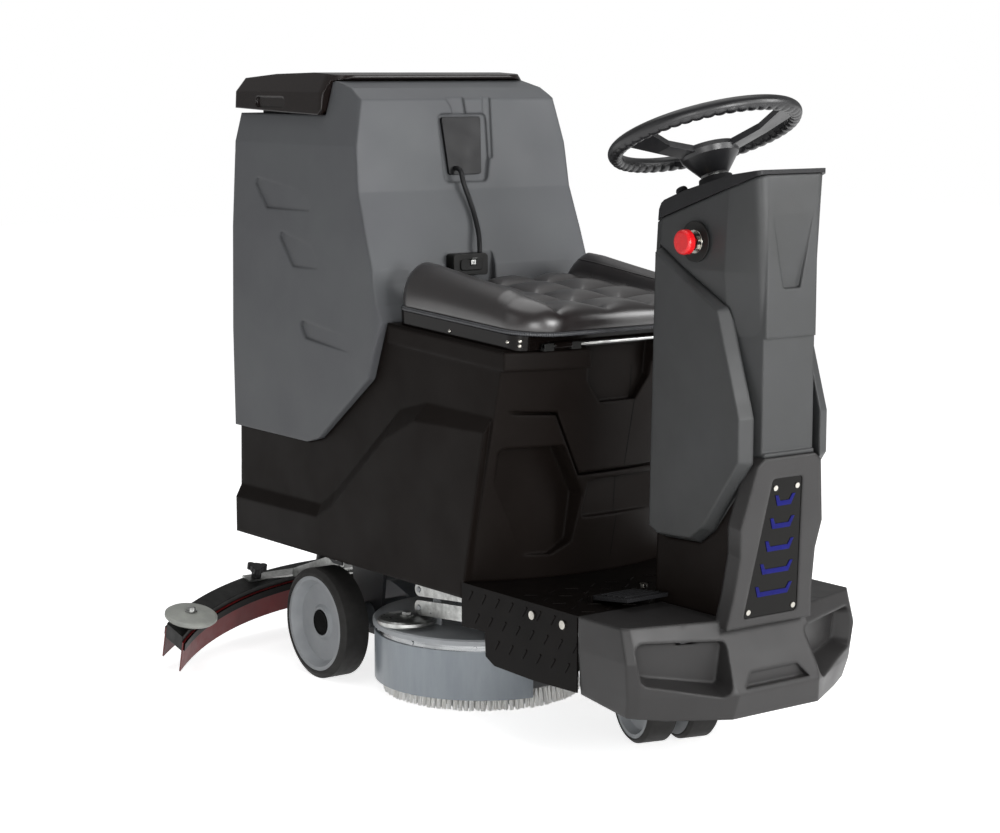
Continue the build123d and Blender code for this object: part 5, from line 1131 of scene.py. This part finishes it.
# ------------------------------------------------------------------ small controls
@dataclass
class SmallControls(SubAssembly):
    """Bright and dark small parts on the column, on the tank and at the seat's hinge."""

    stop_at: Point = (-0.098, -0.622985, 0.953)
    nut: float = 0.0174
    nut_bore: float = 0.0086
    nut_foot: float = 0.0012
    nut_top: float = 0.0072
    washer: float = 0.0205
    knob_at: Point = (-0.04, -0.532985, 1.2)
    washer_at: Point = (-0.04, -0.578985, 1.2)
    clips: tuple[Pair, ...] = ((-0.040, 0.868), (0.012, 0.858))
    clip_width: float = 0.011
    clip_thick: float = 0.0012
    rod_at: Pair = (-0.315985, 0.746)
    rod_half: float = 0.193
    rod: float = 0.0036
    rod_core: float = 0.0004
    seam_top: Pair = (0.047, 0.69)
    seam_foot: Pair = (0.020, 0.315)
    seam_half: float = 0.0008
    seam_steps: int = 60

    def build(self) -> None:
        """Builds each small part on what carries it."""
        knob = (
            (0.011, -0.002), (0.011, 0.003), (0.0075, 0.005), (0.0075, 0.012), (0.0105, 0.0145),
            (0.0112, 0.019), (0.0095, 0.0225), (0.004, 0.024),
        )
        washer = (
            (0.004, -0.001), (0.0125, -0.001), (0.0135, 0.001), (0.0125, 0.0035), (0.006, 0.0042),
            (0.004, 0.003),
        )
        self.build_nut()
        self.stand("direction_knob", COVER_ABS, "control_black", self.knob_at, knob)
        self.stand("shaft_washer", CREAM_POM, "bright_nut", self.washer_at, washer, True)
        self.build_seam()
        self.build_clips()
        self.build_rod()

    def stand(
        self, name: str, finish: Finish, slot: str, above: Point, profile: Sequence[Pair],
        ring: bool = False,
    ) -> None:
        """Stands a turned part on the console's cap.

        Args:
            name: the piece's name.
            finish: its finish.
            slot: the material slot's name, handed on to the piece.
            above: a point over the place where it stands.
            profile: its radii and heights.
            ring: whether it has a bore.
        """
        draft = MeshDraft()
        found = on_surface("console_cap", above, (0, 0, -1))
        if found:
            draft.turned(profile, *found, 24, ring)
        self.piece(draft, name, finish, "machine", slot)

    def build_clips(self) -> None:
        """Bends the bright latch plates over the face of the tank's connector."""
        draft = MeshDraft()
        bends = ((0.0004, -0.007), (-0.0016, -0.005), (-0.0016, 0.004), (-0.007, 0.008))
        screw = ((0.0027, 0.0), (0.0027, 0.0012), (0.0018, 0.002), (0.0004, 0.0022))
        for across, up in self.clips:
            found = on_surface("tank_connector", (across, -0.5, up), (0, 1, 0))
            if not found:
                continue
            foot = found[0]
            line = [foot + Vector((0, out, rise)) for out, rise in bends]
            draft.bar(line, Vector((1, 0, 0)), self.clip_width, self.clip_thick)
            draft.turned(screw, foot + Vector((0, -0.0022, -0.001)), Vector((0, -1, 0)), 14)
        self.piece(draft, "connector_clips", ZINC, "tank", "zinc_steel")

    def build_rod(self) -> None:
        """Slides the bright rod through the knuckles of the seat's front hinge."""
        draft = MeshDraft()
        end, core = 2 * self.rod_half, self.rod_core
        profile = ((core, 0.0), (self.rod, 0.0), (self.rod, end), (core, end))
        draft.turned(profile, Vector((-self.rod_half, *self.rod_at)), Vector((1, 0, 0)), 20)
        self.piece(draft, "hinge_rod", ZINC, "machine", "zinc_steel")

    def build_nut(self) -> None:
        """Screws the nut and washer under the emergency stop, clear of the pressed button."""
        draft = MeshDraft()
        base, out = Vector(self.stop_at), Vector((-1, 0, 0))
        nut, bore, foot, top = self.nut, self.nut_bore, self.nut_foot, self.nut_top
        edge = self.washer
        washer = ((bore, 0.0), (edge, 0.0), (0.0208, foot / 2), (edge, foot), (bore, foot))
        hexagon = ((bore, foot), (nut, foot), (nut, 0.006), (nut - 0.0022, top), (bore, top))
        draft.turned(washer, base, out, 36, ring=True)
        draft.turned(hexagon, base, out, 6, ring=True)
        self.piece(draft, "stop_nut", NICKEL, "machine", "bright_nut")

    def build_seam(self) -> None:
        """Draws the joint line down the front of the body, under the seat, as a near-black strip of
        painted shade.
        """
        draft = MeshDraft()
        half = Vector((self.seam_half, 0, 0))
        for step in range(self.seam_steps + 1):
            share = step / self.seam_steps
            across, up = (a + (b - a) * share for a, b in zip(self.seam_top, self.seam_foot))
            found = on_surface("main_body", (across, -0.5, up), (0, 1, 0))
            if not found:
                continue
            place = found[0] + Vector((0, -0.0003, 0))
            here = len(draft.points)
            draft.points += [place - half, place + half]
            if here:
                draft.faces.append((here - 2, here - 1, here + 1, here))
        # The strip's near-black colour is painted shade of the open joint.
        self.piece(draft, "body_seam_shade", PAINTED_SHADE_BLACK, "machine", "black_moulding")


# ------------------------------------------------------------------ rollers and wheels
@dataclass
class RollerBolts(SubAssembly):
    """Bolts through the rollers, and the dust caps of the rear wheels, whose near-black colour is
    painted shade of the hub bores.
    """

    carriers: tuple[tuple[str, str], ...] = (
        ("end_roller_left", "squeegee"), ("end_roller_right", "squeegee"), ("guide_roller", "deck"),
    )
    flats: float = 0.016
    cap: float = 0.0262
    cap_rise: float = 0.0016

    def build(self) -> None:
        """Builds a bolt on each roller and a cap in each rear wheel."""
        for node, body in self.carriers:
            low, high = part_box(node)
            middle = (low + high) / 2
            seat_x = middle.x + self.flats * 0.7
            found = on_surface(node, (seat_x, middle.y, high.z + 0.1), (0, 0, -1))
            height = found[0].z if found else high.z
            draft = MeshDraft()
            draft.bolt(Vector((middle.x, middle.y, height)), UP, self.flats)
            self.piece(draft, f"{node}_bolt", ZINC, body, "zinc_steel")
        self.build_cap(1, "left")
        self.build_cap(-1, "right")

    def build_cap(self, side: int, name: str) -> None:
        """Presses a dust cap into one rear wheel; its near-black colour is painted shade of the hub's
        bore.

        Args:
            side: 1 for the left wheel, -1 for the right.
            name: the side's name.
        """
        low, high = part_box(f"rear_rim_{name}")
        middle = (low + high) / 2
        outside = high.x if side > 0 else low.x
        start = (outside + side * 0.1, middle.y, middle.z + self.cap * 1.06)
        found = on_surface(f"rear_rim_{name}", start, (-side, 0, 0))
        face = found[0].x if found else outside
        shares = ((1, 0.4), (0.93, 1), (0.84, 0.7), (0.8, 0.2), (0.3, 0.5))
        profile = [(self.cap, -0.002)] + [(self.cap * a, self.cap_rise * b) for a, b in shares]
        profile.append((0.0005, self.cap_rise * 0.55))
        draft = MeshDraft()
        draft.turned(profile, Vector((face, middle.y, middle.z)), Vector((side, 0, 0)), 40)
        # The cap's near-black colour is painted shade of the hub's bore.
        self.piece(draft, f"rear_cap_painted_shade_{name}", PAINTED_SHADE_BLACK, f"rear_wheel_{name}", "control_black")


# ------------------------------------------------------------------ brush
@dataclass
class ScrubBrush(SubAssembly):
    """Disc brush: tufts of drawn nylon set in rings under a moulded block."""

    centre: Point = (-0.052, 0.068015, 0.0)
    rim: float = 0.203
    rim_edge: float = 0.003
    block_foot: float = 0.040
    block_top: float = 0.078
    hub: float = 0.034
    hub_edge: float = 0.002
    hub_top: float = 0.090
    bore: float = 0.012
    outer_ring: float = 0.194
    outer_pitch: float = 0.0112
    outer_strands: int = 16
    inner_from: float = 0.075
    inner_step: float = 0.011
    inner_pitch: float = 0.0105
    inner_strands: int = 4
    tuft: float = 0.0037
    strand: float = 0.0015
    flare: float = 0.006
    tip: float = 0.0008
    uneven_tufts: float = 0.0022
    uneven_strands: float = 0.0024
    seed: int = 61

    def build(self) -> None:
        """Builds the block and the tufts in place of the CAD brush."""
        rim, foot, top, edge = self.rim, self.block_foot, self.block_top, self.rim_edge
        profile = (
            (self.bore, foot), (rim - edge, foot), (rim, foot + edge), (rim, top - edge),
            (rim - edge, top), (self.hub + self.hub_edge, top), (self.hub, top + self.hub_edge),
            (self.hub, self.hub_top), (self.bore, self.hub_top),
        )
        block = MeshDraft()
        block.turned(profile, Vector(self.centre), UP, 96, ring=True)
        self.piece(block, "brush_block", BATTERY_PP, "brush", "control_black")
        tufts = MeshDraft()
        chance = random.Random(self.seed)
        rings = [(self.outer_ring, self.outer_pitch, self.outer_strands)]
        radius = self.inner_from
        while radius < self.outer_ring - self.inner_step * 0.6:
            rings.append((radius, self.inner_pitch, self.inner_strands))
            radius += self.inner_step
        for radius, pitch, strands in rings:
            count = round(math.tau * radius / pitch)
            for index in range(count):
                turn = math.tau * (index + chance.uniform(-0.08, 0.08)) / count
                self.add_tuft(tufts, chance, radius, turn, strands)
        bristles = self.piece(tufts, "brush_tufts", BRISTLE_NYLON, "brush", "bristle_white", 60)
        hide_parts("scrub_brush")

    def add_tuft(
        self, draft: MeshDraft, chance: random.Random, radius: float, turn: float, strands: int
    ) -> None:
        """Adds one tuft: strands that leave one hole and spread towards their tips.

        Args:
            draft: the tufts so far.
            chance: the seeded source of random numbers.
            radius: of the ring that the tuft stands in.
            turn: its angle round the brush, in radians.
            strands: how many it has.
        """
        out = Vector((math.cos(turn), math.sin(turn), 0))
        beside = Vector((-out.y, out.x, 0))
        middle = Vector(self.centre)
        hole = middle + out * radius
        longest = chance.uniform(0.0, self.uneven_tufts)
        for _ in range(strands):
            spread = chance.uniform(0, 1) ** 0.5
            way = chance.uniform(0, math.tau)
            offset = (out * math.cos(way) + beside * math.sin(way)) * spread * self.tuft
            tip_z = self.tip + longest + chance.uniform(0.0, self.uneven_strands)
            lean = out * (self.flare * (0.35 + 0.3 * spread)) + offset
            levels = (
                (hole + offset * 0.35, self.block_foot + 0.001, self.strand),
                (hole + offset * 0.6 + lean * 0.35, 0.021, self.strand * 1.05),
                (hole + lean, tip_z, self.strand * 0.8),
            )
            start = len(draft.points)
            for place, height, size in levels:
                flat = place - middle
                limit = self.rim + 0.0005 - size
                if flat.length > limit:
                    place = middle + flat * (limit / flat.length)
                for sx, sy in ((1, 0), (0, 1), (-1, 0), (0, -1)):
                    corner = place + out * (sx * size) + beside * (sy * size)
                    draft.points.append((corner.x, corner.y, height))
            draft.band(start, start + 4, 4)
            draft.band(start + 4, start + 8, 4)
            draft.faces.append(tuple(start + 8 + side for side in range(4)))


# ------------------------------------------------------------------ tank cable
@dataclass
class TankCable(SubAssembly):
    """The short lead from the level sensor's plate down to its connector on the tank."""

    radius: float = 0.005
    length: float = 0.199
    route: tuple[Point, ...] = (
        (-0.025, 0.193776, 1.051870),
        (-0.025, 0.174952, 1.054455),
        (-0.018, 0.176015, 1.024),
        (-0.008, 0.168015, 0.990),
        (-0.002, 0.157015, 0.955),
        (-0.005, 0.140015, 0.922),
        (-0.013, 0.126015, 0.900),
        (-0.013, 0.126015, 0.884),
    )

    def build(self) -> None:
        """Builds the lead along its route."""
        curve = bpy.data.curves.new("tank_lead", "CURVE")
        curve.dimensions = "3D"
        curve.bevel_depth = self.radius
        curve.bevel_resolution = 5
        curve.resolution_u = 10
        curve.use_fill_caps = True
        spline = curve.splines.new("NURBS")
        spline.points.add(len(self.route) - 1)
        for control, point in zip(spline.points, self.route):
            control.co = (*point, 1.0)
        spline.order_u = 3
        spline.use_endpoint_u = True
        lead = self.piece(curve, "tank_lead", COVER_ABS, "tank", "control_black")
        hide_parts("tank_cable")


# ------------------------------------------------------------------ studio
@dataclass(frozen=True)
class SoftBox:
    """A square soft box: where it hangs, what it faces, its side and its power."""

    name: str
    place: Point
    target: Point
    side: float
    watts: float


SOFT_BOXES = (
    SoftBox("box_right", (-3.6, 0.6, 1.9), (0, 0, 0.6), 2.2, 10.0),
    SoftBox("box_front", (1.7, -3.6, 1.7), (0, 0, 0.6), 2.4, 58.0),
    SoftBox("box_top", (0.0, 0.2, 3.4), (0, 0, 0.6), 3.0, 45.0),
    SoftBox("box_near", (-0.2, -2.6, 1.1), (0, -0.85, 0.85), 0.7, 34.0),
    SoftBox("box_seat", (1.61, -2.09, 1.62), (-0.05, -0.35, 0.78), 0.9, 20.0),
    SoftBox("box_low", (-2.4, -2.6, 0.6), (-0.1, 0.1, 0.1), 1.2, 36.0),
)


@dataclass
class Studio:
    """A pale floor under soft light, and the camera where the photograph was taken."""

    camera_at: Point = (-2.85063, -3.727785, 1.25)
    azimuth: float = -36.8571
    elevation: float = 8.3404
    focal_px: float = 2363.7
    frame_px: float = 1000.0
    sensor_mm: float = 36.0
    clip_end: float = 50.0
    floor_half: float = 14.0
    floor_colour: str = "#f0f0f0"
    floor_roughness: float = 0.9
    floor_lift: float = 0.76
    world_level: float = 0.3

    def build(self) -> None:
        """Sets the camera, the floor, the lamps and the world."""
        self.build_camera()
        self.build_floor()
        for box in SOFT_BOXES:
            self.hang(box)
        self.build_world()

    def aim(self, thing: Object, place: Point, way: Vector) -> None:
        """Puts a camera or a lamp at a place, looking along a direction.

        Args:
            thing: the camera or lamp.
            place: where it goes.
            way: the direction that it looks in.
        """
        thing.location = place
        thing.rotation_mode = "QUATERNION"
        thing.rotation_quaternion = way.to_track_quat("-Z", "Y")

    def build_camera(self) -> None:
        """Aims the camera as the photograph's was."""
        lens = bpy.data.cameras.new("camera")
        lens.sensor_width = self.sensor_mm
        lens.lens = self.focal_px * self.sensor_mm / self.frame_px
        lens.clip_end = self.clip_end
        camera = add_object("camera", lens)
        turn, tilt = math.radians(self.azimuth), math.radians(self.elevation)
        level = math.cos(tilt)
        way = Vector((-math.sin(turn) * level, math.cos(turn) * level, -math.sin(tilt)))
        self.aim(camera, self.camera_at, way)
        bpy.context.scene.camera = camera

    def build_floor(self) -> None:
        """Lays a pale matt floor."""
        signs, half = ((-1, -1), (1, -1), (1, 1), (-1, 1)), self.floor_half
        corners = [(x * half, y * half, 0) for x, y in signs]
        mesh = bpy.data.meshes.new("studio_floor")
        mesh.from_pydata(corners, [], [(0, 1, 2, 3)])
        floor = add_object("studio_floor", mesh)
        material = bpy.data.materials.new("paper_white_matt")
        material.use_nodes = True
        tree = material.node_tree
        shader = tree.nodes["Principled BSDF"]
        shader.inputs["Base Color"].default_value = linear(self.floor_colour)
        shader.inputs["Roughness"].default_value = self.floor_roughness
        lift = ramp(tree, seen_by(tree, "Is Glossy Ray"), (0.0, self.floor_lift))
        glow = add_node(tree, "ShaderNodeEmission", None, {"Strength": lift})
        parts = {0: shader.outputs["BSDF"], 1: glow.outputs["Emission"]}
        both = add_node(tree, "ShaderNodeAddShader", None, parts)
        output = tree.nodes["Material Output"]
        tree.links.new(both.outputs["Shader"], output.inputs["Surface"])
        mesh.materials.append(material)

    def hang(self, box: SoftBox) -> None:
        """Hangs one soft box, facing its target.

        Args:
            box: the soft box.
        """
        light = bpy.data.lights.new(box.name, "AREA")
        light.shape = "SQUARE"
        light.size = box.side
        light.energy = box.watts
        self.aim(add_object(box.name, light), box.place, Vector(box.target) - Vector(box.place))

    def build_world(self) -> None:
        """Surrounds the part with white, dimmer where it only lights."""
        world = bpy.data.worlds.new("studio_white")
        bpy.context.scene.world = world
        world.use_nodes = True
        tree = world.node_tree
        tree.nodes.clear()
        strength = ramp(tree, seen_by(tree, "Is Transmission Ray"), (self.world_level, 1.0))
        white = {"Color": (1, 1, 1, 1)}
        sky = add_node(tree, "ShaderNodeBackground", white, {"Strength": strength})
        add_node(tree, "ShaderNodeOutputWorld", None, {"Surface": sky.outputs["Background"]})


def main() -> None:
    """Builds the studio and dresses the part."""
    logging.basicConfig(level=logging.INFO, format="%(message)s")
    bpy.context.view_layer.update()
    bpy.context.scene.view_settings.view_transform = "Standard"
    shop = FinishShop()
    Studio().build()
    LOG.info("studio built")
    shop.dress(frame["nodes"])
    LOG.info("%d CAD nodes dressed", len(frame["nodes"]))
    seat = SeatCushion(shop)
    assemblies: tuple[SubAssembly, ...] = (
        TankCable(shop), seat, SeatTrim(shop, seat=seat), SmallControls(shop), RollerBolts(shop),
        ScrubBrush(shop), RimGrips(shop),
    )
    for assembly in assemblies:
        assembly.build()
        for piece in assembly.made:
            LOG.info("%s built", piece.name)


if __name__ == "__main__":
    main()
